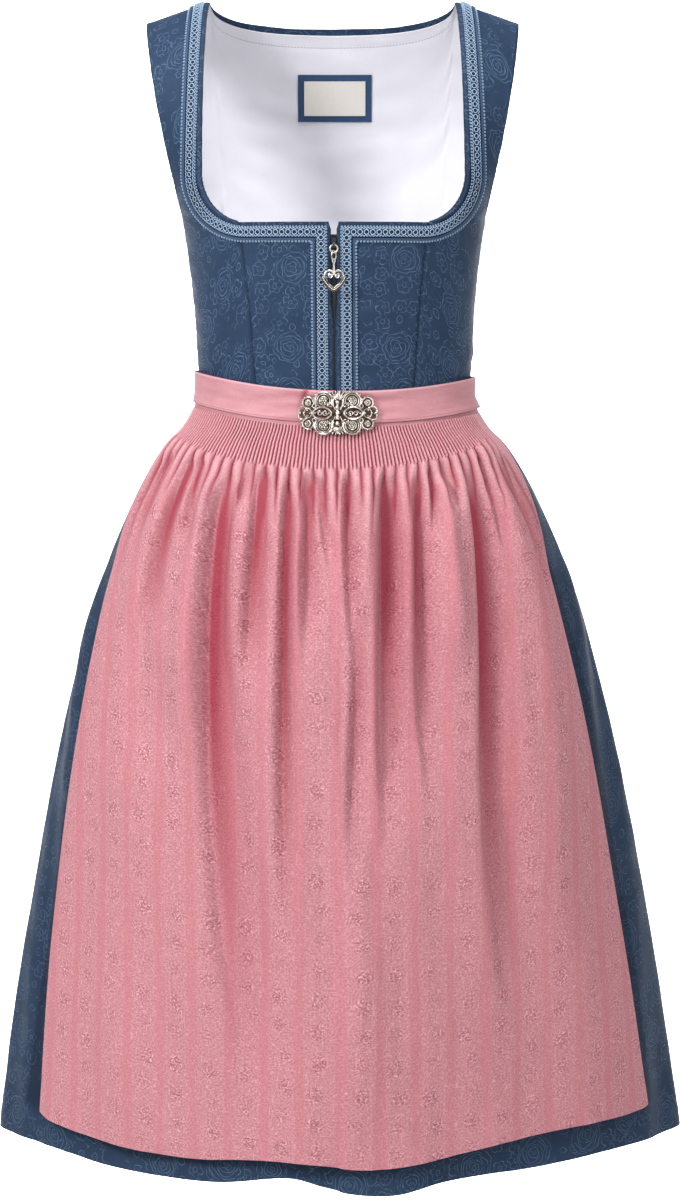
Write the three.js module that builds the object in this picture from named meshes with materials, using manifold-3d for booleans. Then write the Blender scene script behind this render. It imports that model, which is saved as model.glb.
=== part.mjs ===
// A midi dirndl: a jacquard bodice with a front zip, a full skirt, and a smocked apron with a clasp.
// Millimetres, +Z up, the front faces -Y. The origin lies between the shoulder straps, level with
// their inner edges, where the wearer's shoulders carry the dress. All cloth is a thin closed wall.
import * as THREE from 'three';
import { mergeVertices } from 'three/addons/utils/BufferGeometryUtils.js';
import Module from 'manifold-3d';

const wasm = await Module();
wasm.setup();

const RAD = Math.PI / 180;

// Walls and gaps
const CLOTH = 1.4;
const LINING = 1.0;
const TRIM = 1.2;
const GAP = 0.3;
const LAYER = 0.95;

// Bodice
const UNDERARM_Z = -205;
const SHOULDER_HALF = 235;
const STRAP_INNER = 115.5;
const STRAP_OUTER = 176;
const STRAP_SLOPE = -0.35;
const NECK_Z = -210;
const NECK_HALF = 123;
const NECK_CORNER = { x: 80, z: -165 };
const BACK_NECK_DEPTH = 21;
const LINING_TOP = 0.955;
const LINING_AIR = 0.7;
const LINING_OUT = -(CLOTH + LINING_AIR);
const ARMHOLE_BULGE = 0.11;
const PRINCESS_WAIST = 33.2;
const PRINCESS_TOP = 36.4;
const PRINCESS_NECK_X = 88;
const PLACKET_GAP = 2.6;
const PLACKET_GAP_LOW = 0.7;
const PLACKET_CLOSES = { from: -275, to: -300 };
const NOTCH = { half: 4.6, depth: 7.3 };

// Waist, tie and waistband
const TIE_TOP = -350;
const TIE_HEIGHT = 31;
const TIE_TILT = 3;
const FRONT_DIP = 14;
const WAIST_BELOW_TIE_TOP = 20;
const BAND_PEEK = 3.5;
const BAND_TUCK = 3;
const BAND_OUT = 1.75;
const TIE_AIR = 0.8;
const TIE_OUT = BAND_OUT + TRIM + TIE_AIR;
const TIE_OUT_BACK = 2.0;
const BAND_REACH = 81;

// Hems and gathers
const SMOCK_SIDE_Z = -408;
const SMOCK_DIP = 30;
const SMOCK_PLEATS = 64;
const SMOCK_RAISE = 2.0;
const SMOCK_SPAN = { from: -0.9, to: 0.84 };
const APRON_COLUMNS = 48;
const APRON_REST = 1.6;
const BACK_GATHERS = 42;
const BACK_GATHER_DEPTH = 2.4;
const BACK_FOLDS = { count: 14, depth: 13, from: -400, full: -1000, calm: 0.35 };
const BACK_HEM = { z: -1080, sideLift: 8 };
const FRONT_WAVE = { depth: 5, crest: 12, period: 39, from: -760, full: -1080 };
const UNDER_APRON = { tuck: 2, from: -400, full: -480 };

// Trim
const BRAID = { inset: 4, width: 14 };
const ZIP = { top: -222, chainTop: -236, tape: 12, tapeThick: 0.8, chain: 2 };
const LABEL = { x: -1, z: -84.5, width: 72, height: 45, rim: 6, thick: 0.6 };
const CLASP = { x: 2, z: -385, top: -365, thick: 1.8, tilt: 0.165, off: 0.3 };
const LENS = { x: 14.5, half: 8.2, tall: 5 };
const CLASP_MIDDLE = { x: 7.2, width: 13, tall: 24, seam: 0.9 };
const CLASP_SCROLL = { radius: 2.3, wire: 0.75, at: [-2.4, 2.6] };
const CLASP_BAR = { wire: 0.9, over: 2 };
const CLASP_BEAD = { radius: 1.5, in: 3.4 };
const SPINDLE = { x: 0.3, radius: 1.3, tall: 31, knob: 2.3, knobs: [-12, -6, 0, 6, 12], proud: 1.4 };
const CLASP_LOBES = [
  { x: 13.2, z: 11.3, radius: 8.6 }, { x: 27, z: 9.6, radius: 5.6 }, { x: 33, z: 0, radius: 3.4 },
  { x: 3, z: 15, radius: 5.2 }, { x: 21, z: 0, radius: 11 },
];
const CLASP_HOLES = [
  { x: 6.6, z: 6.4, radius: 2.2 }, { x: 20.6, z: 7.6, radius: 1.9 }, { x: 13.2, z: 13.2, radius: 2.1 },
  { x: 27.2, z: 9.8, radius: 2.1 }, { x: 28.4, z: 2.6, radius: 1.6 },
];
const PULL = {
  y: -127.4, z: -231, ring: 3.5, wire: 0.8, linkHalf: 3.1, linkTall: 4.6, linkWire: 0.75, twist: 50 * RAD,
};
const SLIDER = { width: 4.4, deep: 4, tall: 9, above: 2, arm: 1.6, armTall: 3.4, eye: 2.3, hole: 1.3 };
const HEART = { z: -261.5, thick: 2, rim: [10.6, 8.4, -11.8], opening: [7, 5.6, -7.2] };
const HEART_SCROLL = { x: 2.7, z: 2.6, radius: 2.2, wire: 0.7 };
const BAIL = { radius: 1.7, wire: 0.6 };
const STEM = { top: 0.9, bottom: 1.2, foot: 4 };

// Sections of the filled-out dress: half width, front and back depth, and how square the oval is
const BODY = [
  { z: -205, half: 143, front: 126, back: 105, square: 2.15 },
  { z: -240, half: 138, front: 121, back: 99, square: 2.15 },
  { z: -285, half: 133, front: 112, back: 92, square: 2.15 },
  { z: -330, half: 130.5, front: 102, back: 84, square: 2.15 },
  { z: -372, half: 129.5, front: 96, back: 80, square: 2.15 },
  { z: -400, half: 143, front: 101, back: 90, square: 2.1 },
  { z: -420, half: 162, front: 107, back: 98, square: 2.05 },
  { z: -450, half: 181, front: 118, back: 110, square: 2.0 },
  { z: -480, half: 197, front: 129, back: 122, square: 1.9 },
  { z: -520, half: 214, front: 143, back: 136, square: 1.82 },
  { z: -566, half: 231, front: 156, back: 150, square: 1.75 },
  { z: -624, half: 247, front: 168, back: 162, square: 1.7 },
  { z: -681, half: 261, front: 177, back: 172, square: 1.66 },
  { z: -739, half: 273.5, front: 184, back: 179, square: 1.63 },
  { z: -797, half: 284.5, front: 189, back: 184, square: 1.6 },
  { z: -914, half: 305, front: 196, back: 191, square: 1.56 },
  { z: -1031, half: 322, front: 200, back: 195, square: 1.52 },
  { z: -1090, half: 330, front: 202, back: 197, square: 1.5 },
];

// Hem heights by angle round the front, 0 at the centre and + to the right
const SKIRT_HEM = [
  { at: -90, z: -1072 }, { at: -61, z: -1077 }, { at: -45, z: -1087 }, { at: -27, z: -1088 },
  { at: -14, z: -1081 }, { at: -6, z: -1088 }, { at: 6, z: -1094 }, { at: 15, z: -1095 },
  { at: 24, z: -1087 }, { at: 38, z: -1083 }, { at: 54, z: -1077 }, { at: 90, z: -1072 },
];
const APRON_HEM = [
  { at: -70, z: -1036 }, { at: -66, z: -1043 }, { at: -60, z: -1051 }, { at: -47, z: -1060 },
  { at: -32, z: -1066 }, { at: -21, z: -1063 }, { at: -11, z: -1063 }, { at: 8, z: -1069 },
  { at: 19, z: -1065 }, { at: 33, z: -1053 }, { at: 45, z: -1047 }, { at: 65, z: -1043 },
  { at: 70, z: -1036 },
];

// How many degrees the apron reaches round to each side, and how far it stands off the skirt
const APRON_SIDE = [
  { z: -380, left: 80, right: 80, lift: 1.6 }, { z: -420, left: 80, right: 80, lift: 1.7 },
  { z: -450, left: 80, right: 78, lift: 5 }, { z: -480, left: 79.5, right: 75, lift: 11 },
  { z: -520, left: 77, right: 70, lift: 14 }, { z: -566, left: 72.5, right: 65, lift: 15 },
  { z: -681, left: 70, right: 65, lift: 14 }, { z: -855, left: 67.5, right: 65.5, lift: 12 },
  { z: -1070, left: 64, right: 67, lift: 11 },
];

// Soft troughs of the apron: angle at their start, middle and end, height range, depth and width
const APRON_FOLDS = [
  { start: -76, middle: -62, end: -45, from: -412, to: -700, depth: 9, width: 4.5 },
  { start: -54, middle: -58, end: -61, from: -740, to: -960, depth: 4, width: 7 },
  { start: -57, middle: -50, end: -42, from: -422, to: -515, depth: 5, width: 3.5 },
  { start: -35, middle: -26, end: -23, from: -428, to: -1060, depth: 10, width: 4 },
  { start: -22, middle: -22, end: -23, from: -434, to: -770, depth: 8, width: 3.2 },
  { start: -7, middle: -7, end: -8, from: -438, to: -810, depth: 6, width: 3.5 },
  { start: 3, middle: 2.5, end: 2, from: -440, to: -560, depth: 4, width: 2.6 },
  { start: 14, middle: 14, end: 18, from: -436, to: -635, depth: 7, width: 3 },
  { start: 24, middle: 22, end: 22, from: -434, to: -660, depth: 7, width: 3 },
  { start: 24, middle: 25, end: 26, from: -670, to: -780, depth: 3.5, width: 2.6 },
  { start: 42, middle: 38, end: 46, from: -428, to: -980, depth: 11, width: 4.5 },
  { start: 52, middle: 50, end: 48, from: -420, to: -500, depth: 4, width: 3 },
  { start: 75, middle: 69, end: 62, from: -415, to: -590, depth: 7, width: 3.5 },
  { start: -15, middle: -14, end: -13, from: -715, to: -900, depth: 3, width: 2.4 },
];

// Small helpers
const clamp = (v, low, high) => Math.min(high, Math.max(low, v));
const mix = (a, b, t) => a + (b - a) * t;
const power = (v, p) => Math.sign(v) * Math.abs(v) ** p;

function smooth(from, to, v) {
  const t = clamp((v - from) / (to - from), 0, 1);
  return t * t * (3 - 2 * t);
}

// Reads one column of a table as a smooth curve through its rows
function along(table, by, key, at) {
  const up = table[1][by] > table[0][by] ? 1 : -1;
  const last = table.length - 1;
  let i = 0;
  while (i < last - 1 && (at - table[i + 1][by]) * up > 0) i += 1;
  const slope = (k) => {
    const a = table[Math.max(k - 1, 0)];
    const b = table[Math.min(k + 1, last)];
    return (b[key] - a[key]) / (b[by] - a[by]);
  };
  const [p, q] = [table[i], table[i + 1]];
  const step = q[by] - p[by];
  const t = clamp((at - p[by]) / step, 0, 1);
  const [t2, t3] = [t * t, t * t * t];
  return (2 * t3 - 3 * t2 + 1) * p[key] + (t3 - 2 * t2 + t) * step * slope(i)
    + (3 * t2 - 2 * t3) * q[key] + (t3 - t2) * step * slope(i + 1);
}

// Heights round the waist
const frontness = (angle) => Math.max(0, Math.cos(angle)) ** 2;
const tieTop = (angle) => TIE_TOP - TIE_TILT * Math.sin(angle) - FRONT_DIP * frontness(angle);
const tieBottom = (angle) => tieTop(angle) - TIE_HEIGHT;
const waist = (angle) => tieTop(angle) - WAIST_BELOW_TIE_TOP;
const bandBottom = (angle) => tieBottom(angle) - BAND_PEEK;
const smockBottom = (angle) => SMOCK_SIDE_Z - SMOCK_DIP * frontness(angle);
const lean = (z) => -3.1 - 0.0067 * z;
const shoulderZ = (x) => (Math.abs(x) - STRAP_INNER) * (Math.abs(x) > STRAP_INNER ? STRAP_SLOPE : -0.2);

// A point of an oval section; angle 0 is the front centre, 90 degrees the right side
function ovalPoint(angle, half, front, back, square, z) {
  const [s, c] = [Math.sin(angle), Math.cos(angle)];
  const depth = c > 0 ? front : back;
  return new THREE.Vector3(half * power(s, 2 / square), -depth * power(c, 2 / square), z);
}

function bodyPoint(angle, z) {
  const read = (key) => along(BODY, 'z', key, z);
  const point = ovalPoint(angle, read('half'), read('front'), read('back'), read('square'), z);
  point.x += lean(z);
  return point;
}

// Above the underarm the ovals widen and close over the shoulders; rise runs from 0 to 1
function chestPoint(angle, rise) {
  const w = 1 - (1 - rise) ** 2;
  const low = BODY[0];
  const front = low.front * (1 - w ** 1.5) ** 0.55;
  const back = low.back * Math.sqrt(1 - w * w);
  const past = rise > 1 ? -1 : 1;
  const half = mix(low.half, SHOULDER_HALF, w);
  const point = ovalPoint(angle, half, front * past, back * past, low.square, 0);
  point.z = mix(UNDERARM_Z, shoulderZ(point.x), w);
  point.x += lean(point.z);
  return point;
}

// Bodice places are [angle, h]: h is -1 at the waist, 0 at the underarm and 1 at the shoulder seam
function bodicePoint(angle, h) {
  if (h > 0) return chestPoint(angle, h);
  return bodyPoint(angle, mix(UNDERARM_Z, waist(angle), -h));
}

// The bodice place that lies at x, z as seen from the front
function placeAt(x, z, behind = false) {
  const flatX = x - lean(z);
  const turn = (half, square) => {
    const angle = Math.asin(clamp(Math.abs(flatX) / half, 0, 1) ** (square / 2));
    return Math.sign(flatX || 1) * (behind ? Math.PI - angle : angle);
  };
  if (z > UNDERARM_Z) {
    const w = clamp((z - UNDERARM_Z) / (shoulderZ(flatX) - UNDERARM_Z), 0, 1);
    return [turn(mix(BODY[0].half, SHOULDER_HALF, w), BODY[0].square), 1 - Math.sqrt(1 - w)];
  }
  const angle = turn(along(BODY, 'z', 'half', z), along(BODY, 'z', 'square', z));
  return [angle, -(z - UNDERARM_Z) / (waist(angle) - UNDERARM_Z)];
}

// A surface point moved out along the surface's own normal
function offsetPoint(surface, u, v, out, stepU = 0.004, stepV = 0.004) {
  const across = surface(u + stepU, v).sub(surface(u - stepU, v));
  const up = surface(u, v + stepV).sub(surface(u, v - stepV));
  return surface(u, v).addScaledVector(across.cross(up).normalize(), out);
}

// Joins two rows of vertex numbers with triangles; the rows may differ in length
function stripe(faces, a, b, inside = false) {
  const add = (p, q, r) => (inside ? faces.push(p, r, q) : faces.push(p, q, r));
  let [i, j] = [0, 0];
  while (i < a.length - 1 || j < b.length - 1) {
    const nextA = (i + 1) / (a.length - 1);
    const nextB = (j + 1) / (b.length - 1);
    if (j >= b.length - 1 || (i < a.length - 1 && nextA < nextB)) {
      add(a[i], b[j], a[i + 1]);
      i += 1;
    } else {
      add(a[i], b[j], b[j + 1]);
      j += 1;
    }
  }
}

// A closed wall between an outer and an inner set of rows, given from the top down
function wallGeometry(outerRows, innerRows, ring = false) {
  const positions = [];
  const faces = [];
  const number = (rows) => rows.map((row) => {
    const ids = row.map((point) => positions.push(point.x, point.y, point.z) / 3 - 1);
    return ring ? [...ids, ids[0]] : ids;
  });
  const outer = number(outerRows);
  const inner = number(innerRows);
  const last = outer.length - 1;
  for (let i = 0; i < last; i += 1) {
    stripe(faces, outer[i], outer[i + 1]);
    stripe(faces, inner[i], inner[i + 1], true);
  }
  stripe(faces, inner[0], outer[0]);
  stripe(faces, outer[last], inner[last]);
  if (!ring) {
    stripe(faces, outer.map((row) => row[0]), inner.map((row) => row[0]));
    stripe(faces, inner.map((row) => row.at(-1)), outer.map((row) => row.at(-1)));
  }
  const geometry = new THREE.BufferGeometry();
  geometry.setAttribute('position', new THREE.Float32BufferAttribute(positions, 3));
  geometry.setIndex(faces);
  return geometry;
}

// A wall on a surface, its outer side at out and its inner side a wall's thickness below
function wallOn(surface, places, out, thick, ring = false, raise = () => 0) {
  const row = (shift) => places.map((line) => line.map(([u, v], j) => (
    offsetPoint(surface, u, v, shift(u, v, j)))));
  return wallGeometry(row((u, v, j) => out + raise(u, v, j)), row(() => out - thick), ring);
}

const grid = (rows, columns, place) => rows.map((r) => columns.map((c) => place(r, c)));
const steps = (count, from = 0, to = 1) => (
  Array.from({ length: count + 1 }, (_, i) => mix(from, to, i / count)));

function cloth(name, geometry, color, roughness = 0.8, metalness = 0) {
  geometry.computeVertexNormals();
  const material = new THREE.MeshStandardMaterial({ color, roughness, metalness, side: THREE.DoubleSide });
  const mesh = new THREE.Mesh(geometry, material);
  mesh.name = name;
  return mesh;
}

const BLUE = 0x3a5675;
const PINK = 0xd0848d;
const PALE = 0xe6e2ea;
const SILVER = 0xb9b2a4;
const BRAID_BLUE = 0x6f93bb;
const CREAM = 0xe4e2da;
const ZIP_BLACK = 0x16181c;
const TAPE_BLACK = 0x1c2028;
const GUNMETAL = 0x2a2a2c;

// Panel edges as places

function armholePlace(h, side) {
  const w = h > 0 ? 1 - (1 - h) ** 2 : 0;
  if (h <= 0) return [side * 90 * RAD, h];
  const reach = w + ARMHOLE_BULGE * Math.sin(Math.PI * w);
  const x = mix(BODY[0].half, STRAP_OUTER, reach);
  const half = mix(BODY[0].half, SHOULDER_HALF, w);
  return [side * Math.asin(clamp(x / half, 0, 1) ** (BODY[0].square / 2)), h];
}

// The neck edge from the zip (0) along the front (to 1), round the corner (to 2), up to the shoulder (3),
// moved into the cloth by inset
function neckPlace(k, inset, side, start = PLACKET_GAP) {
  if (k <= 1) {
    const x = mix(start, NECK_CORNER.x, k);
    return placeAt(side * x + lean(NECK_Z), NECK_Z - inset);
  }
  if (k <= 2) {
    const turn = (k - 1) * 90 * RAD;
    const x = NECK_CORNER.x + (NECK_HALF - NECK_CORNER.x + inset) * Math.sin(turn);
    const z = NECK_CORNER.z - (NECK_CORNER.z - NECK_Z + inset) * Math.cos(turn);
    return placeAt(side * x + lean(z), z);
  }
  const first = placeAt(NECK_HALF + inset, NECK_CORNER.z)[1];
  const h = mix(first, 1, k - 2);
  const w = 1 - (1 - h) ** 2;
  const x = mix(NECK_HALF, STRAP_INNER, k - 2) + inset;
  const half = mix(BODY[0].half, SHOULDER_HALF, w);
  return [side * Math.asin((x / half) ** (BODY[0].square / 2)), h];
}

const princess = (h) => mix(PRINCESS_TOP, PRINCESS_WAIST, -h) * RAD;
const placketGap = (z) => (
  mix(PLACKET_GAP, PLACKET_GAP_LOW, smooth(PLACKET_CLOSES.from, PLACKET_CLOSES.to, z)));

// Places are written for the right side; the left side mirrors and reverses them
function sided(places, side) {
  if (side > 0) return places;
  return places.map((line) => line.map(([u, v]) => [-u, v]).reverse());
}

const SEAM_TURN = GAP / 2 / 125;
const stitched = (surface, shift) => (u, v) => surface(u, v).add(new THREE.Vector3(0, shift, 0));
const frontSurface = stitched(bodicePoint, -GAP / 2);
const backSurface = stitched(bodicePoint, GAP / 2);

function frontCentre(side) {
  const nearZip = [0, 0.9, 2.2];
  const columns = [...nearZip.map((mm) => ({ mm })), ...steps(5).slice(1).map((part) => ({ part }))];
  const topZ = (x) => {
    const t = clamp((NOTCH.half - x) / (NOTCH.half - PLACKET_GAP), 0, 1);
    return NECK_Z - NOTCH.depth * (1 - Math.sqrt(1 - t * t));
  };
  const place = (r, column) => {
    const roughZ = mix(waist(0), NECK_Z, r);
    const gap = placketGap(roughZ);
    const seam = princess(-1 + r) - SEAM_TURN;
    const zipTurn = (mm) => placeAt(gap + mm + lean(roughZ), roughZ)[0];
    const nearTurn = zipTurn(column.mm ?? nearZip.at(-1));
    const angle = column.mm === undefined ? mix(nearTurn, seam, column.part) : nearTurn;
    const x = bodyPoint(angle, roughZ).x - lean(roughZ);
    const top = -(topZ(Math.max(x, PLACKET_GAP)) - UNDERARM_Z) / (waist(angle) - UNDERARM_Z);
    return [angle, mix(-1, top, r)];
  };
  return sided(grid(steps(11, 1, 0), columns, place), side);
}

function frontSide(side) {
  const roundCorner = (PRINCESS_NECK_X - NECK_CORNER.x) / (NECK_HALF - NECK_CORNER.x);
  const kStart = 1 + Math.asin(roundCorner) / (90 * RAD);
  const neckStart = neckPlace(kStart, 0, 1)[1];
  const low = 0.42;
  const place = (t, c) => {
    if (t <= low) {
      const h = mix(-1, 0, t / low);
      const left = [princess(mix(-1, neckStart, t / low)) + SEAM_TURN, mix(-1, neckStart, t / low)];
      return [mix(left[0], 90 * RAD, c), mix(left[1], h, c)];
    }
    const up = (t - low) / (1 - low);
    const left = neckPlace(mix(kStart, 3, up ** 0.8), 0, 1);
    if (up < 1e-6) left[0] += SEAM_TURN;
    const right = armholePlace((left[1] - neckStart) / (1 - neckStart), 1);
    return [mix(left[0], right[0], c), mix(left[1], right[1], c)];
  };
  const rows = [...steps(11, 1, low + 0.05), low + 0.015, ...steps(5, low, 0)];
  return sided(grid(rows, steps(8), place), side);
}

// The back runs from the right side seam (90) round to the left one (270)
const backNeckZ = (x) => -BACK_NECK_DEPTH * Math.sqrt(Math.max(0, 1 - (Math.abs(x) / STRAP_INNER) ** 3));

function backPlace(c, h) {
  const edge = 180 * RAD - armholePlace(h, 1)[0];
  return [mix(edge, 360 * RAD - edge, c), h];
}

function backTop(c) {
  const shoulder = bodicePoint(...backPlace(c, 1));
  if (Math.abs(shoulder.x - lean(shoulder.z)) >= STRAP_INNER) return 1;
  let [low, high] = [0.3, 1];
  for (let i = 0; i < 30; i += 1) {
    const h = (low + high) / 2;
    const point = bodicePoint(...backPlace(c, h));
    if (point.z > backNeckZ(point.x - lean(point.z))) high = h;
    else low = h;
  }
  return low;
}

const HALF_BACK = [0, 0.05, 0.1, 0.15, 0.2, 0.22, 0.255, 0.31, 0.37, 0.43];
const BACK_COLUMNS = [...HALF_BACK, 0.5, ...HALF_BACK.map((c) => 1 - c).reverse()];

const BACK_ROWS = [1, ...steps(7, LINING_TOP, 0.1), 0.03, ...steps(4, 0, -1)];
const BACK_PLACES = grid(BACK_ROWS, BACK_COLUMNS, (r, c) => backPlace(c, r <= 0 ? r : r * backTop(c)));

// Braid: a strip that follows the neck edge, turns a mitred corner and runs down beside the zip
function braidPlaces(side) {
  const across = [0, 0.5, 1].map((part) => BRAID.inset + part * BRAID.width);
  const alongNeck = [...steps(13, 3, 2), ...steps(5, 2, 1).slice(1), 0.6, 0.25];
  const neck = alongNeck.map((k) => across.map((inset) => neckPlace(k, inset, 1, 25)));
  const corner = across.map((inset) => placeAt(PLACKET_GAP + inset + lean(NECK_Z), NECK_Z - inset));
  const end = tieTop(0) - BAND_TUCK + GAP;
  const besideZip = steps(9).slice(1).map((t) => across.map((inset) => {
    const z = mix(NECK_Z - inset, end, t);
    return placeAt(PLACKET_GAP + inset + lean(z), z);
  }));
  return sided([...neck, corner, ...besideZip], side);
}

// Strip behind the plackets between two widths either side of the centre
function zipPlaces(half, top, bottom) {
  return grid(steps(8, top, bottom), steps(2, -half, half), (z, x) => placeAt(x + lean(z), z));
}

function labelPlaces(width, height) {
  const columns = steps(4, width / 2, -width / 2);
  return grid(steps(3, height / 2, -height / 2), columns, (z, x) => {
    const [angle, h] = placeAt(LABEL.x + x, LABEL.z + z, true);
    return [angle < 0 ? angle + 360 * RAD : angle, h];
  });
}

// Skirt points are given by angle and by up, which is 0 at the waist and -1 at the hem

function frontSkirtPoint(angle, up) {
  const z = mix(waist(angle) - GAP, along(SKIRT_HEM, 'at', 'z', angle / RAD), -up);
  const turns = (angle / RAD - FRONT_WAVE.crest) / FRONT_WAVE.period;
  const wave = FRONT_WAVE.depth * Math.cos(turns * 360 * RAD) * smooth(FRONT_WAVE.from, FRONT_WAVE.full, z);
  const tuck = UNDER_APRON.tuck * smooth(UNDER_APRON.from, UNDER_APRON.full, z);
  return offsetPoint(bodyPoint, angle, z, (wave - tuck) * frontness(angle), 0.01, 1);
}

// Gathers at the back waist run out into broad uneven folds
function backSkirtPoint(angle, up) {
  const fromSide = angle - 90 * RAD;
  const middle = Math.sin(fromSide);
  const z = mix(waist(angle) - GAP, BACK_HEM.z + BACK_HEM.sideLift * (1 - middle), -up);
  const uneven = fromSide + 0.05 * Math.sin(3 * fromSide + 0.7) + 0.025 * Math.sin(7 * fromSide);
  const spread = smooth(BACK_FOLDS.from, BACK_FOLDS.full, z) * smooth(0, BACK_FOLDS.calm, middle);
  const depth = BACK_FOLDS.depth * spread;
  return offsetPoint(bodyPoint, angle, z, Math.cos(2 * BACK_FOLDS.count * uneven) * depth, 0.01, 1);
}

const frontSkirt = stitched(frontSkirtPoint, -GAP / 2);
const backSkirt = stitched(backSkirtPoint, GAP / 2);
const SKIRT_ROWS = [0, -0.035, -0.09, -0.18, -0.34, -0.54, -0.77, -1];

function skirtFrontGeometry() {
  const places = grid(SKIRT_ROWS, steps(26, -90 * RAD, 90 * RAD), (up, angle) => [angle, up]);
  return wallOn(frontSkirt, places, 0, CLOTH);
}

function skirtBackGeometry() {
  const columns = steps(2 * BACK_GATHERS, 90 * RAD, 270 * RAD);
  const places = grid(SKIRT_ROWS, columns, (up, angle) => [angle, up]);
  const gather = (angle, up, j) => {
    const inside = j > 1 && j < columns.length - 2 && j % 2;
    return inside ? BACK_GATHER_DEPTH * smooth(0.034, 0.08, -up) * (1 - smooth(0.07, 0.34, -up)) : 0;
  };
  return wallOn(backSkirt, places, 0, CLOTH, false, gather);
}

// Apron

function foldDepth(angle, z) {
  const turn = angle / RAD;
  return APRON_FOLDS.reduce((sum, fold) => {
    const t = clamp((z - fold.from) / (fold.to - fold.from), 0, 1);
    const centre = mix(mix(fold.start, fold.middle, t), mix(fold.middle, fold.end, t), t);
    const fade = smooth(0, 0.12, t) * (1 - smooth(0.55, 1, t));
    return sum + fold.depth * fade * Math.exp(-(((turn - centre) / fold.width) ** 2));
  }, 0);
}

const apronReach = (side, z) => along(APRON_SIDE, 'z', side < 0 ? 'left' : 'right', z) * RAD;

function apronPoint(angle, z) {
  const reach = apronReach(angle, z);
  const lift = along(APRON_SIDE, 'z', 'lift', z);
  const edge = 1 - Math.min(1, Math.abs(angle) / reach) ** 6;
  const room = APRON_REST + Math.max(0, lift - APRON_REST) * edge;
  const out = Math.max(APRON_REST, room - foldDepth(angle, z) * edge);
  return offsetPoint(bodyPoint, angle, z, out + CLOTH, 0.01, 1);
}

function apronGeometry() {
  const pleatTurns = steps(2 * SMOCK_PLEATS, SMOCK_SPAN.from, SMOCK_SPAN.to);
  const smockColumns = [...steps(3, -1, -0.93), ...pleatTurns, ...steps(3, 0.87, 1)];
  const first = 4;
  const lastPleat = first + pleatTurns.length;
  const topRow = (part) => (u) => {
    const angle = u * apronReach(u, TIE_TOP);
    return [angle, mix(bandBottom(angle) - GAP, smockBottom(angle), part)];
  };
  const below = (v) => (u) => {
    const roughZ = mix(smockBottom(0), APRON_HEM[7].z, v);
    const angle = u * apronReach(u, roughZ);
    const from = smockBottom(angle);
    return [angle, mix(from, along(APRON_HEM, 'at', 'z', angle / RAD), v)];
  };
  const lowColumns = steps(APRON_COLUMNS, -1, 1);
  const lines = [
    smockColumns.map(topRow(0)), smockColumns.map(topRow(1)), smockColumns.map(below(0.02)),
    ...[0.06, 0.12, 0.2, 0.31, 0.45, 0.62, 0.81, 1].map((v) => lowColumns.map(below(v))),
  ];
  const raise = (u, v, j) => {
    const inPleats = j >= first && j < lastPleat && j % 2;
    return inPleats && v > smockBottom(u) - 2 ? SMOCK_RAISE : 0;
  };
  const outer = lines.map((line) => line.map(([u, v], j) => offsetPoint(apronPoint, u, v,
    line.length > 100 ? raise(u, v, j) : 0, 0.01, 1)));
  const inner = lines.map((line) => line.map(([u, v]) => offsetPoint(apronPoint, u, v, -CLOTH, 0.01, 1)));
  return wallGeometry(outer, inner);
}

// The waistband spans the front; the tie runs all round and its ends meet behind the clasp
function bandGeometry() {
  const reach = BAND_REACH * RAD;
  const rows = [0, 0.5, 1];
  const places = grid(rows, steps(36, -reach, reach), (r, angle) => (
    [angle, mix(tieTop(angle) - BAND_TUCK, bandBottom(angle), r)]));
  return wallOn(bodyPoint, places, BAND_OUT + TRIM, TRIM);
}

function tieSurface(angle, z) {
  const behind = smooth(0.1, -0.2, Math.cos(angle));
  return offsetPoint(bodyPoint, angle, z, mix(TIE_OUT, TIE_OUT_BACK, behind) + TRIM, 0.01, 1);
}

function tieGeometry() {
  const rows = [0, 0.34, 0.67, 1];
  const ends = CLASP.x * 0.005;
  const places = grid(rows, steps(52, ends + 0.004, 360 * RAD + ends - 0.004), (r, angle) => (
    [angle, mix(tieTop(angle), tieBottom(angle), r)]));
  return wallOn(tieSurface, places, 0, TRIM);
}

// Solids for the boolean work
function solid(geometry) {
  const plain = geometry.clone();
  plain.deleteAttribute('normal');
  plain.deleteAttribute('uv');
  const merged = mergeVertices(plain, 1e-4);
  const mesh = new wasm.Mesh({
    numProp: 3,
    vertProperties: new Float32Array(merged.attributes.position.array),
    triVerts: new Uint32Array(merged.index.array),
  });
  return new wasm.Manifold(mesh);
}

function fromSolid(manifold) {
  const mesh = manifold.getMesh();
  const geometry = new THREE.BufferGeometry();
  geometry.setAttribute('position', new THREE.BufferAttribute(mesh.vertProperties, 3));
  geometry.setIndex(new THREE.BufferAttribute(mesh.triVerts, 1));
  return geometry;
}

const union = (parts) => parts.reduce((a, b) => a.add(b));

// A disc or plate in the XZ plane, centred on y = 0
function disc(x, z, radius, thick, sides = 10) {
  return solid(new THREE.CylinderGeometry(radius, radius, thick, sides).translate(x, 0, z));
}

function plate(points, thick, curveSegments = 10) {
  const shape = points instanceof THREE.Shape ? points : new THREE.Shape(points);
  const geometry = new THREE.ExtrudeGeometry(shape, { depth: thick, bevelEnabled: false, curveSegments });
  return geometry.translate(0, 0, -thick / 2).rotateX(90 * RAD);
}

// Clasp

function lensShape() {
  const shape = new THREE.Shape();
  shape.moveTo(LENS.x - LENS.half, 0);
  shape.quadraticCurveTo(LENS.x, LENS.tall * 2, LENS.x + LENS.half, 0);
  shape.quadraticCurveTo(LENS.x, -LENS.tall * 2, LENS.x - LENS.half, 0);
  return shape;
}

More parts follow.
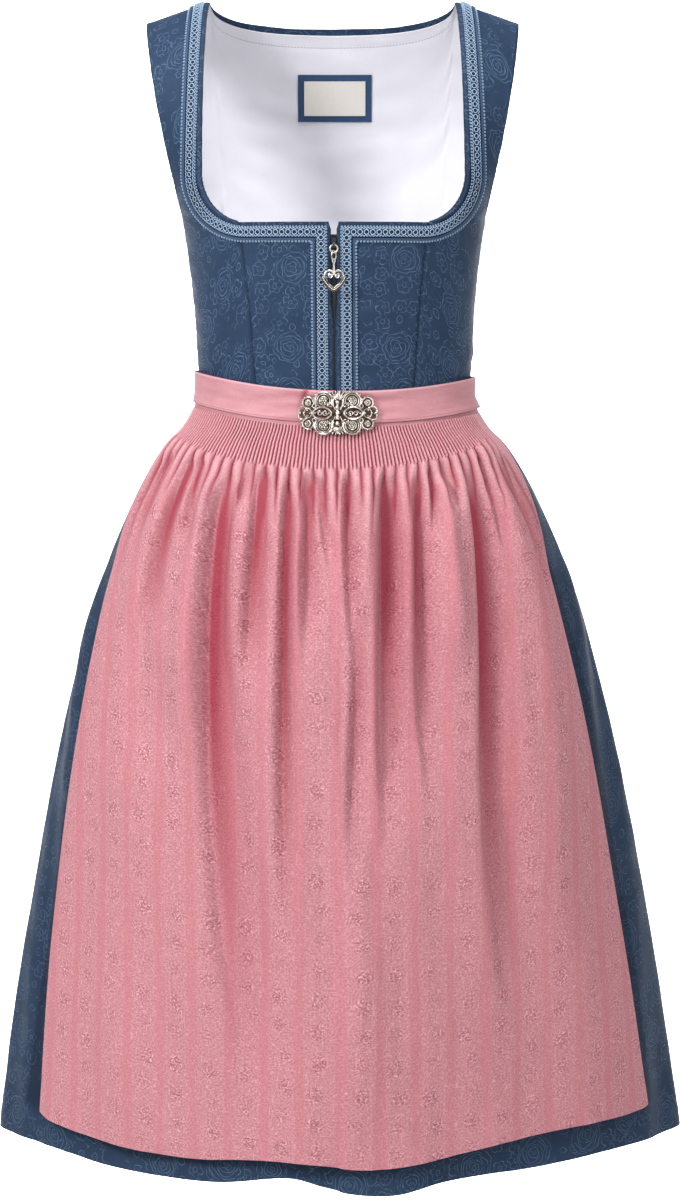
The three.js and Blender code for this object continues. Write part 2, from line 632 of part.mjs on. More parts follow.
// One openwork half, bent to the waist; the left half carries the spindle
function claspHalf(side) {
  const thick = CLASP.thick;
  const both = (list, thickness) => list.flatMap(({ x, z, radius }) => (
    (z ? [z, -z] : [0]).map((at) => disc(x, at, radius, thickness))));
  const middle = new THREE.BoxGeometry(CLASP_MIDDLE.width, thick, CLASP_MIDDLE.tall);
  const body = union([solid(middle.translate(CLASP_MIDDLE.x, 0, 0)), ...both(CLASP_LOBES, thick)]);
  const seamSide = solid(new THREE.BoxGeometry(20, 10, 60).translate(-10 + CLASP_MIDDLE.seam, 0, 0));
  const lens = solid(plate(lensShape(), thick * 3, 5));
  const holes = union([seamSide, lens, ...both(CLASP_HOLES, thick * 3)]);
  const { radius: round, wire } = CLASP_SCROLL;
  const scrolls = CLASP_SCROLL.at.map((x) => (
    solid(new THREE.TorusGeometry(round, wire, 4, 8).rotateX(90 * RAD).translate(LENS.x + x, 0, 0))));
  const barLength = 2 * LENS.half + CLASP_BAR.over;
  const bar = solid(new THREE.BoxGeometry(barLength, CLASP_BAR.wire, CLASP_BAR.wire)
    .translate(LENS.x, 0.2, 0));
  const beads = CLASP_LOBES.slice(0, 2).flatMap(({ x, z }) => [z, -z].map((at) => (
    solid(new THREE.SphereGeometry(CLASP_BEAD.radius, 5, 3).translate(x - CLASP_BEAD.in, -thick / 2, at)))));
  let half = union([body.subtract(holes), ...scrolls, bar, ...beads]);
  if (side < 0) half = half.add(spindle());
  const geometry = fromSolid(half);
  if (side < 0) geometry.scale(-1, 1, 1);
  return placeClasp(geometry, side < 0);
}

// The beaded rod that hides the join, cut flat behind so that it clears the right half
function spindle() {
  const { x, radius, tall, proud } = SPINDLE;
  const rod = solid(new THREE.CapsuleGeometry(radius, tall, 2, 6).rotateX(90 * RAD).translate(x, -proud, 0));
  const knobs = SPINDLE.knobs.map((z) => (
    solid(new THREE.SphereGeometry(SPINDLE.knob, 6, 4).translate(x, -proud - 0.2, z))));
  const front = solid(new THREE.BoxGeometry(8, 4.2, 60).translate(0, -3.3, 0));
  const bridge = solid(new THREE.BoxGeometry(2.2, 1.8, 26).translate(CLASP_MIDDLE.seam, -0.8, 0));
  return union([rod, ...knobs]).intersect(front).add(bridge);
}

function placeClasp(geometry, mirrored) {
  const position = geometry.attributes.position;
  const middle = -bodyPoint(0, CLASP.top).y;
  for (let i = 0; i < position.count; i += 1) {
    const [x, y, z] = [position.getX(i), position.getY(i), position.getZ(i)];
    const wrap = -bodyPoint(placeAt(x + lean(CLASP.z), CLASP.z)[0], CLASP.top).y - middle;
    const out = middle + wrap + TIE_OUT + TRIM + GAP + CLASP.thick / 2 + CLASP.off;
    const slope = CLASP.tilt * (CLASP.top - CLASP.z - z);
    position.setXYZ(i, x + CLASP.x, -out - slope + y, z + CLASP.z);
  }
  if (mirrored) {
    const index = geometry.index.array;
    for (let i = 0; i < index.length; i += 3) [index[i], index[i + 1]] = [index[i + 1], index[i]];
  }
  return geometry;
}

// Zip pull

function sliderGeometry() {
  const depth = -bodyPoint(0, PULL.z).y;
  const reach = -PULL.y - depth;
  const body = new THREE.BoxGeometry(SLIDER.width, SLIDER.deep, SLIDER.tall)
    .translate(0, -depth + 0.9, PULL.z + SLIDER.above);
  const arm = new THREE.BoxGeometry(SLIDER.arm, reach + 1, SLIDER.armTall)
    .translate(0, -depth - reach / 2, PULL.z + 0.4);
  const across = (radius, length, sides) => solid(
    new THREE.CylinderGeometry(radius, radius, length, sides).rotateZ(90 * RAD).translate(0, PULL.y, PULL.z),
  );
  const whole = union([solid(body), solid(arm), across(SLIDER.eye, SLIDER.arm, 16)]);
  return fromSolid(whole.subtract(across(SLIDER.hole, 2 * SLIDER.arm, 14))).translate(lean(PULL.z), 0, 0);
}

function ringGeometry() {
  const ring = new THREE.TorusGeometry(PULL.ring, PULL.wire, 7, 16).rotateX(90 * RAD);
  return ring.translate(lean(PULL.z), PULL.y, PULL.z - PULL.ring);
}

const LINK_Z = PULL.z - 2 * PULL.ring + 2 * PULL.wire + GAP - PULL.linkTall;
const HEART_PIVOT_Z = LINK_Z - PULL.linkTall;

function linkGeometry() {
  const tube = 0.29;
  const link = new THREE.TorusGeometry(1, tube, 7, 16);
  const position = link.attributes.position;
  for (let i = 0; i < position.count; i += 1) {
    const [x, y, z] = [position.getX(i), position.getY(i), position.getZ(i)];
    const radius = Math.hypot(x, y);
    const wire = (radius - 1) / tube * PULL.linkWire;
    const depth = z / tube * PULL.linkWire;
    position.setXYZ(i, x / radius * (PULL.linkHalf + wire), y / radius * (PULL.linkTall + wire), depth);
  }
  return link.rotateX(90 * RAD).rotateZ(PULL.twist).translate(lean(PULL.z), PULL.y, LINK_Z);
}

// Heart outline with half width w, its notch at the top and its tip at the bottom
function heartShape(half, top, tip) {
  const shape = new THREE.Shape();
  shape.moveTo(0, top * 0.55);
  shape.bezierCurveTo(half * 0.25, top * 1.15, half, top * 1.1, half, top * 0.1);
  shape.bezierCurveTo(half, -top * 0.5, half * 0.35, tip * 0.6, 0, tip);
  shape.bezierCurveTo(-half * 0.35, tip * 0.6, -half, -top * 0.5, -half, top * 0.1);
  shape.bezierCurveTo(-half, top * 1.1, -half * 0.25, top * 1.15, 0, top * 0.55);
  return shape;
}

function heartGeometry() {
  const rim = solid(plate(heartShape(...HEART.rim), HEART.thick, 5));
  const opening = solid(plate(heartShape(...HEART.opening), HEART.thick * 3, 5));
  const { radius, wire, z } = HEART_SCROLL;
  const scrolls = [-HEART_SCROLL.x, HEART_SCROLL.x].map((x) => (
    solid(new THREE.TorusGeometry(radius, wire, 5, 10).rotateX(90 * RAD).translate(x, 0, z))));
  const heart = union([rim.subtract(opening), ...scrolls]).translate([0, 0, HEART.z]);
  const bailZ = HEART_PIVOT_Z + PULL.linkWire + BAIL.wire + GAP - BAIL.radius;
  const bail = solid(new THREE.TorusGeometry(BAIL.radius, BAIL.wire, 6, 12).rotateX(90 * RAD)
    .rotateZ(PULL.twist - 90 * RAD).translate(0, 0, bailZ));
  const stemTop = bailZ - BAIL.radius;
  const stemHeight = stemTop - (HEART.z + STEM.foot);
  const stem = solid(new THREE.CylinderGeometry(STEM.top, STEM.bottom, stemHeight, 8).rotateX(90 * RAD)
    .translate(0, 0, stemTop - stemHeight / 2));
  return fromSolid(union([heart, bail, stem])).translate(lean(PULL.z), PULL.y, 0);
}

// The whole dress
const dirndl = new THREE.Group();

for (const [name, side] of [['left', -1], ['right', 1]]) {
  const centre = wallOn(frontSurface, frontCentre(side), 0, CLOTH);
  const sidePanel = wallOn(frontSurface, frontSide(side), 0, CLOTH);
  const braid = wallOn(frontSurface, braidPlaces(side), LAYER + TRIM, TRIM);
  dirndl.add(cloth(`bodice_front_center_${name}`, centre, BLUE));
  dirndl.add(cloth(`bodice_front_side_${name}`, sidePanel, BLUE));
  dirndl.add(cloth(`braid_${name}`, braid, BRAID_BLUE));
  dirndl.add(cloth(`apron_clasp_${name}`, claspHalf(side), SILVER, 0.35, 1));
}

dirndl.add(cloth('bodice_back', wallOn(backSurface, BACK_PLACES, 0, CLOTH), BLUE));
// The lining repeats the back's own points further in, from the row below the neck edge
dirndl.add(cloth('back_lining', wallOn(backSurface, BACK_PLACES.slice(1), LINING_OUT, LINING), PALE));
const labelOut = LINING_OUT - LINING - LAYER;
const backing = labelPlaces(LABEL.width, LABEL.height);
const patch = labelPlaces(LABEL.width - 2 * LABEL.rim, LABEL.height - 2 * LABEL.rim);
const patchOut = labelOut - LABEL.thick - GAP;
dirndl.add(cloth('label_backing', wallOn(backSurface, backing, labelOut, LABEL.thick), BLUE));
dirndl.add(cloth('label_patch', wallOn(backSurface, patch, patchOut, LABEL.thick), CREAM));

const chainOut = -(CLOTH + LAYER);
const tapeOut = chainOut - TRIM - LAYER;
const chain = wallOn(frontSurface, zipPlaces(ZIP.chain, ZIP.chainTop, waist(0)), chainOut, TRIM);
const tape = wallOn(frontSurface, zipPlaces(ZIP.tape, ZIP.top, waist(0)), tapeOut, ZIP.tapeThick);
dirndl.add(cloth('zip_chain', chain, ZIP_BLACK));
dirndl.add(cloth('zip_tape', tape, TAPE_BLACK));
dirndl.add(cloth('zip_slider', sliderGeometry(), GUNMETAL, 0.4, 0.8));
dirndl.add(cloth('pull_ring', ringGeometry(), SILVER, 0.3, 1));
dirndl.add(cloth('pull_link', linkGeometry(), SILVER, 0.3, 1));
dirndl.add(cloth('heart_pendant', heartGeometry(), SILVER, 0.3, 1));

dirndl.add(cloth('skirt_front', skirtFrontGeometry(), BLUE));
dirndl.add(cloth('skirt_back', skirtBackGeometry(), BLUE));
dirndl.add(cloth('apron_panel', apronGeometry(), PINK));
dirndl.add(cloth('apron_waistband', bandGeometry(), PINK));
dirndl.add(cloth('apron_tie', tieGeometry(), PINK));

export default dirndl;
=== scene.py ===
"""A filled-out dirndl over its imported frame: jacquard bodice and skirt, smocked apron, braid and clasp.

Lengths are millimetres until a mesh is made. The front faces -Y, and angles run from the front centre
towards +X. The surfaces repeat the part's own sections, so that every piece lies on its solid.
"""
import math

import bpy
import numpy as np
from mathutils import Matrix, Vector


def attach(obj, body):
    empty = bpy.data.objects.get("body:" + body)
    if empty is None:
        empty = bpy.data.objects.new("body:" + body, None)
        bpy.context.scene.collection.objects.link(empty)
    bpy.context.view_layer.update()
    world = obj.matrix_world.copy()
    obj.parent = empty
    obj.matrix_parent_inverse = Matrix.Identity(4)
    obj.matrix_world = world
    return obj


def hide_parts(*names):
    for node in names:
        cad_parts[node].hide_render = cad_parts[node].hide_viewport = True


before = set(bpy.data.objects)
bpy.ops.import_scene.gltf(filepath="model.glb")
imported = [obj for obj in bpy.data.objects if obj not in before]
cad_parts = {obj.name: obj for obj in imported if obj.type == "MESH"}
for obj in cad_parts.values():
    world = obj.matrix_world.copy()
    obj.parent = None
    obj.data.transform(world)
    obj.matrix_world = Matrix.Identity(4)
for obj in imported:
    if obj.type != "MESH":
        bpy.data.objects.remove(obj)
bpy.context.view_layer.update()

MM = 0.001
RAD = math.pi / 180

# Walls and gaps
CLOTH = 1.4
LINING = 1.0
TRIM = 1.2
GAP = 0.3
LAYER = 0.95

# Bodice
UNDERARM_Z = -205
SHOULDER_HALF = 235
STRAP_INNER = 115.5
STRAP_OUTER = 176
NECK_Z = -210
NECK_HALF = 123
NECK_CORNER_X, NECK_CORNER_Z = 80, -165
BACK_NECK_DEPTH = 21
LINING_TOP = 0.955
LINING_OUT = -(CLOTH + 0.7)
ARMHOLE_BULGE = 0.11
PRINCESS_WAIST, PRINCESS_TOP, PRINCESS_NECK_X = 33.2, 36.4, 88
PLACKET_GAP, PLACKET_GAP_LOW = 2.6, 0.7
NOTCH_HALF, NOTCH_DEPTH = 4.6, 7.3
# Seams are nearly closed here, where the solids keep GAP between their panels
SEAM_GAP = 0.03
SEAM_TURN = SEAM_GAP / 2 / 125
# How far below the neck edge the lining is stitched
STITCH_LINE = 12.5

# Waist
TIE_TOP, TIE_HEIGHT, TIE_TILT, FRONT_DIP = -350, 31, 3, 14
WAIST_BELOW_TIE_TOP = 20
BAND_PEEK, BAND_TUCK, BAND_OUT, BAND_REACH = 3.5, 3, 1.75, 81
TIE_OUT, TIE_OUT_BACK = BAND_OUT + TRIM + 0.8, 2.0

# Hems and gathers
SMOCK_SIDE_Z, SMOCK_DIP, SMOCK_RAISE = -408, 30, 2.2
SMOCK_PLEATS, PLEATS_IN_GATHER = 110, 3
APRON_REST = 1.6
BACK_GATHERS = 42
BACK_FOLDS, BACK_FOLD_DEPTH = 14, 13
BACK_HEM_Z, BACK_HEM_RISE = -1080, 8
HEM_FOLD, APRON_HEM_FOLD = 22, 18
# How much shade is painted on the front skirt's sides beside the apron
SKIRT_SHADE = 0.25
# Creases are pressed deeper than they are listed, and the broad ones aren't shaded
CREASE_STRENGTH, BROAD_CREASE = 1.8, 3.5

BRAID_INSET, BRAID_WIDTH = 4, 14
ZIP_TOP, CHAIN_TOP, TAPE_HALF = -222, -236, 12
LABEL = dict(x=-1, z=-84.5, width=72, height=45, rim=6, thick=0.6)
CLASP = dict(x=2, z=-385, top=-365, thick=1.8, tilt=0.165, off=0.3)
PULL = dict(y=-127.4, z=-231, ring=3.5, wire=0.8, half=3.1, tall=4.6, link_wire=0.75, twist=50 * RAD)
HEART_Z = -261.5
SIDES = (("left", -1), ("right", 1))
FORWARD = (0, -1, 0)
# The photograph's camera: its place and aim in metres, and its lens in mm
CAMERA_PLACE, CAMERA_AIM, CAMERA_LENS = (0.005, -3.4, -0.300), (0.005, 0, -0.566), 107.13


class Table:
    """Rows of a place and its values, read between the rows as smooth curves."""

    def __init__(self, *rows):
        table = np.array(sorted(rows), float)
        self.at, self.values = table[:, 0], table[:, 1:]
        k = np.arange(len(rows))
        low, high = np.maximum(k - 1, 0), np.minimum(k + 1, len(rows) - 1)
        run = (self.at[high] - self.at[low])[:, None]
        self.slopes = (self.values[high] - self.values[low]) / run

    def __call__(self, place):
        """One array of values for each column."""
        place = np.asarray(place, float)
        i = np.clip(np.searchsorted(self.at, place) - 1, 0, len(self.at) - 2)
        step = (self.at[i + 1] - self.at[i])[..., None]
        t = np.clip((place - self.at[i])[..., None] / step, 0, 1)
        t2, t3 = t * t, t * t * t
        value = (
            (2 * t3 - 3 * t2 + 1) * self.values[i]
            + (t3 - 2 * t2 + t) * step * self.slopes[i]
            + (3 * t2 - 2 * t3) * self.values[i + 1]
            + (t3 - t2) * step * self.slopes[i + 1]
        )
        return np.moveaxis(value, -1, 0)


# Sections of the filled-out dress: height, half width, front and back depth, and how square the oval is
BODY = Table(
    (-205, 143, 126, 105, 2.15), (-240, 138, 121, 99, 2.15), (-285, 133, 112, 92, 2.15),
    (-330, 130.5, 102, 84, 2.15), (-372, 129.5, 96, 80, 2.15), (-400, 143, 101, 90, 2.1),
    (-420, 162, 107, 98, 2.05), (-450, 181, 118, 110, 2.0), (-480, 197, 129, 122, 1.9),
    (-520, 214, 143, 136, 1.82), (-566, 231, 156, 150, 1.75), (-624, 247, 168, 162, 1.7),
    (-681, 261, 177, 172, 1.66), (-739, 273.5, 184, 179, 1.63), (-797, 284.5, 189, 184, 1.6),
    (-914, 305, 196, 191, 1.56), (-1031, 322, 200, 195, 1.52), (-1090, 330, 202, 197, 1.5),
)
UNDERARM = dict(half=143, front=126, back=105, square=2.15)

# Hem heights by angle in degrees
SKIRT_HEM = Table(
    (-90, -1072), (-61, -1077), (-45, -1087), (-27, -1088), (-14, -1081), (-6, -1088), (6, -1094),
    (15, -1095), (24, -1087), (38, -1083), (54, -1077), (90, -1072),
)
APRON_HEM = Table(
    (-70, -1036), (-66, -1043), (-60, -1051), (-47, -1060), (-32, -1066), (-21, -1063), (-11, -1063),
    (8, -1069), (19, -1065), (33, -1053), (45, -1047), (65, -1043), (70, -1036),
)
# Height, how many degrees the apron reaches round to the left and right, and how far it stands off the skirt
APRON_SIDE = Table(
    (-380, 80, 80, 1.6), (-420, 80, 80, 1.7), (-450, 80, 78, 5), (-480, 79.5, 75, 11), (-520, 77, 70, 14),
    (-566, 72.5, 65, 15), (-681, 70, 65, 14), (-855, 67.5, 65.5, 12), (-1070, 64, 67, 11),
)
# Creases of the apron: angle at the start, middle and end, heights from and to, depth, and the width of
# the left and right wall; a depth below 0 is a ridge
CREASES = (
    (-64, -64, -63, -422, -530, 6, 1.2, 3.0), (-51, -52, -49, -424, -620, 8, 1.4, 4.0),
    (-46, -44, -42, -426, -520, 5, 1.0, 2.5), (-34, -31, -17, -428, -1060, 12, 1.6, 5.5),
    (-26, -27, -28, -430, -480, 5, 0.8, 1.8), (-22, -23, -22, -430, -660, 9, 1.2, 3.6),
    (-14, -15, -12, -434, -930, 8, 1.1, 3.0), (-8, -9, -8, -434, -620, 7, 1.0, 2.8),
    (-5, -4, -1, -442, -540, 5, 0.9, 2.2), (3, 3, 6, -438, -620, 6, 1.0, 2.6),
    (14, 12, 13, -434, -800, 11, 1.2, 6.0), (24, 19, 23, -434, -760, 7, 1.0, 3.4),
    (34, 34, 34, -430, -480, 5, 0.8, 1.8), (43, 29, 37, -428, -980, 10, 1.2, 5.5),
    (50, 49, 47, -426, -530, 5, 0.9, 2.4), (61, 61, 58, -420, -600, 6, 1.0, 3.4),
    (-54, -42, -50, -560, -730, 6, 4.0, 5.0), (7, 5, 4, -540, -820, 5, 1.2, 3.2),
    (29, 28, 27, -436, -510, 5, 0.8, 2.0), (-57, -62, -60, -720, -960, 4, 5.0, 7.0),
    (-71, -71, -66, -425, -560, 5, 1.2, 2.6), (70, 69, 63, -420, -570, 5, 2.4, 1.2),
    (-38, -37, -33, -440, -720, -5, 3.0, 1.8), (-28.5, -28, -27, -440, -660, -3, 2.2, 2.0),
    (-11, -12, -10, -480, -980, -5, 2.8, 2.6), (9, 8, 9, -442, -600, -5, 3.0, 2.4),
    (31, 30, 28, -442, -640, -5, 2.8, 2.4), (9, 8, 8, -780, -1075, -5, 6.0, 6.0),
    (20, 18, 17, -442, -680, -4, 2.2, 2.2), (54, 53, 50, -440, -900, -4, 4.0, 5.0),
)


# Small helpers

def mix(a, b, t):
    return a + (b - a) * t


def smooth(start, end, v):
    t = np.clip((v - start) / (end - start), 0, 1)
    return t * t * (3 - 2 * t)


def power(v, p):
    return np.sign(v) * np.abs(v) ** p


def bump(distance, width):
    """A soft ridge of height 1 along the places where distance is 0."""
    return np.exp(-((distance / width) ** 2))


def unit(v):
    return v / np.maximum(np.linalg.norm(v, axis=-1, keepdims=True), 1e-9)


def points(x, y, z):
    return np.stack(np.broadcast_arrays(x, y, z), -1).astype(float)


def run_along(grid, axis=0):
    """How far each point lies from the first of its row or column."""
    return np.insert(np.cumsum(np.linalg.norm(np.diff(grid, axis=axis), axis=-1), axis), 0, 0, axis)


def ripple(u, v, seed, length_u, length_v, waves=10):
    """Smooth unevenness of about -1 to 1 in waves of about these lengths."""
    rng = np.random.default_rng(seed)
    total = 0
    for _ in range(waves):
        turn, phase, scale = rng.uniform(0, 2 * math.pi), rng.uniform(0, 2 * math.pi), rng.uniform(0.7, 1.5)
        total = total + np.sin(
            2 * math.pi * scale * (u / length_u * math.cos(turn) + v / length_v * math.sin(turn)) + phase)
    return total / math.sqrt(waves)


def uneven(uv, seed, length_u, length_v):
    return ripple(uv[..., 0], uv[..., 1], seed, length_u, length_v)


# Heights round the waist

def frontness(angle):
    return np.maximum(0, np.cos(angle)) ** 2


def tie_top(angle):
    return TIE_TOP - TIE_TILT * np.sin(angle) - FRONT_DIP * frontness(angle)


def waist(angle):
    return tie_top(angle) - WAIST_BELOW_TIE_TOP


def band_bottom(angle):
    return tie_top(angle) - TIE_HEIGHT - BAND_PEEK


def smock_bottom(angle):
    return SMOCK_SIDE_Z - SMOCK_DIP * frontness(angle)


def lean(z):
    return -3.1 - 0.0067 * z


def shoulder_z(x):
    x = np.abs(x)
    return (x - STRAP_INNER) * np.where(x > STRAP_INNER, -0.35, -0.2)


# Surfaces: each takes an angle and a height-like value and gives points

def oval(angle, half, front, back, square):
    s, c = np.sin(angle), np.cos(angle)
    return half * power(s, 2 / square), -np.where(c > 0, front, back) * power(c, 2 / square)


def body(angle, z):
    angle, z = np.broadcast_arrays(angle, z)
    x, y = oval(angle, *BODY(z))
    return points(x + lean(z), y, z)


def chest(angle, rise):
    """Above the underarm the ovals widen and close over the shoulders."""
    w = 1 - (1 - rise) ** 2
    past = np.where(rise > 1, -1, 1)
    front = past * UNDERARM["front"] * np.maximum(0, 1 - np.maximum(w, 0) ** 1.5) ** 0.55
    back = past * UNDERARM["back"] * np.sqrt(np.maximum(0, 1 - w * w))
    x, y = oval(angle, mix(UNDERARM["half"], SHOULDER_HALF, w), front, back, UNDERARM["square"])
    z = mix(UNDERARM_Z, shoulder_z(x), w)
    return points(x + lean(z), y, z)


def bodice(angle, h):
    """h is -1 at the waist, 0 at the underarm and 1 at the shoulder seam."""
    angle, h = np.broadcast_arrays(angle, h)
    low = body(angle, mix(UNDERARM_Z, waist(angle), np.maximum(-h, 0)))
    return np.where((h > 0)[..., None], chest(angle, np.maximum(h, 0)), low)


def moved_y(surface, shift):
    return lambda u, v: surface(u, v) + np.array([0, shift, 0])


front_surface = moved_y(bodice, -SEAM_GAP / 2)
back_surface = moved_y(bodice, SEAM_GAP / 2)


def normals(surface, u, v, step_u=0.004, step_v=0.004):
    across = surface(u + step_u, v) - surface(u - step_u, v)
    up = surface(u, v + step_v) - surface(u, v - step_v)
    return unit(np.cross(across, up))


def offset(surface, u, v, out, step_u=0.004, step_v=0.004):
    shift = np.broadcast_to(out, np.broadcast_shapes(np.shape(u), np.shape(v), np.shape(out)))
    return surface(u, v) + normals(surface, u, v, step_u, step_v) * shift[..., None]


def off_body(angle, z, out):
    return offset(body, angle, z, out, 0.01, 1)


def place_at(x, z, behind=False):
    """The bodice place that lies at x, z as seen from the front."""
    x, z = np.broadcast_arrays(np.asarray(x, float), np.asarray(z, float))
    flat = x - lean(z)

    def turn(half, square):
        angle = np.arcsin(np.clip(np.abs(flat) / half, 0, 1) ** (square / 2))
        return np.where(flat < 0, -1, 1) * (math.pi - angle if behind else angle)

    w = np.clip((z - UNDERARM_Z) / (shoulder_z(flat) - UNDERARM_Z), 0, 1)
    half, _, _, square = BODY(z)
    low = turn(half, square)
    high = turn(mix(UNDERARM["half"], SHOULDER_HALF, w), UNDERARM["square"])
    above = z > UNDERARM_Z
    h_low = -(z - UNDERARM_Z) / (waist(low) - UNDERARM_Z)
    return np.where(above, high, low), np.where(above, 1 - np.sqrt(1 - w), h_low)


# Panel edges, on the right side

def armhole(h):
    w = np.where(h > 0, 1 - (1 - h) ** 2, 0)
    x = mix(UNDERARM["half"], STRAP_OUTER, w + ARMHOLE_BULGE * np.sin(math.pi * w))
    half = mix(UNDERARM["half"], SHOULDER_HALF, w)
    return np.where(h > 0, np.arcsin(np.clip(x / half, 0, 1) ** (UNDERARM["square"] / 2)), math.pi / 2)


def neck(k, inset):
    """The neck edge round its corner (k from 1 to 2) and up the strap (to 3), moved in by inset."""
    turn = np.clip(k - 1, 0, 1) * math.pi / 2
    x = NECK_CORNER_X + (NECK_HALF - NECK_CORNER_X + inset) * np.sin(turn)
    z = NECK_CORNER_Z - (NECK_CORNER_Z - NECK_Z + inset) * np.cos(turn)
    angle, h = place_at(x + lean(z), z)
    first = place_at(NECK_HALF + inset, NECK_CORNER_Z)[1]
    rise = mix(first, 1, np.clip(k - 2, 0, 1))
    strap_x = mix(NECK_HALF, STRAP_INNER, np.clip(k - 2, 0, 1)) + inset
    half = mix(UNDERARM["half"], SHOULDER_HALF, 1 - (1 - rise) ** 2)
    strap = np.arcsin((strap_x / half) ** (UNDERARM["square"] / 2))
    return np.where(k > 2, strap, angle), np.where(k > 2, rise, h)


def princess(h):
    return mix(PRINCESS_TOP, PRINCESS_WAIST, -h) * RAD


def placket_gap(z):
    return mix(PLACKET_GAP, PLACKET_GAP_LOW, smooth(-275, -300, z))


# Meshes

def grid(rows, columns):
    return np.meshgrid(rows, columns, indexing="ij")


def grid_quads(ids):
    return np.stack([ids[:-1, :-1], ids[1:, :-1], ids[1:, 1:], ids[:-1, 1:]], -1).reshape(-1, 4)


def torus(radius, wire, around=14, sides=6):
    a = np.linspace(0, 2 * math.pi, around, endpoint=False)[:, None]
    b = np.linspace(0, 2 * math.pi, sides, endpoint=False)[None, :]
    ring = radius + wire * np.cos(b)
    verts = points(ring * np.cos(a), ring * np.sin(a), wire * np.sin(b)).reshape(-1, 3)
    ids = np.arange(around * sides).reshape(around, sides)
    ids = np.pad(ids, ((0, 1), (0, 1)), mode="wrap")
    return verts, grid_quads(ids)


def ball(radius, cuts):
    """A sphere from a cube whose sides are cut into squares."""
    line = np.linspace(-1, 1, cuts + 1)
    a, b = grid(line, line)
    one = np.ones_like(a)
    sides = [(one, a, b), (-one, b, a), (b, one, a), (a, -one, b), (a, b, one), (b, a, -one)]
    verts = np.concatenate([unit(np.stack(s, -1)).reshape(-1, 3) for s in sides]) * radius
    count = (cuts + 1) ** 2
    faces = np.concatenate([grid_quads(np.arange(count).reshape(cuts + 1, -1) + n * count) for n in range(6)])
    _, first, same = np.unique(np.round(verts, 4), axis=0, return_index=True, return_inverse=True)
    return verts[first], same.reshape(-1)[faces]


BOX = (
    np.array([(x, y, z) for x in (-0.5, 0.5) for y in (-0.5, 0.5) for z in (-0.5, 0.5)], float),
    np.array([(0, 1, 3, 2), (4, 6, 7, 5), (0, 4, 5, 1), (2, 3, 7, 6), (0, 2, 6, 4), (1, 5, 7, 3)]),
)


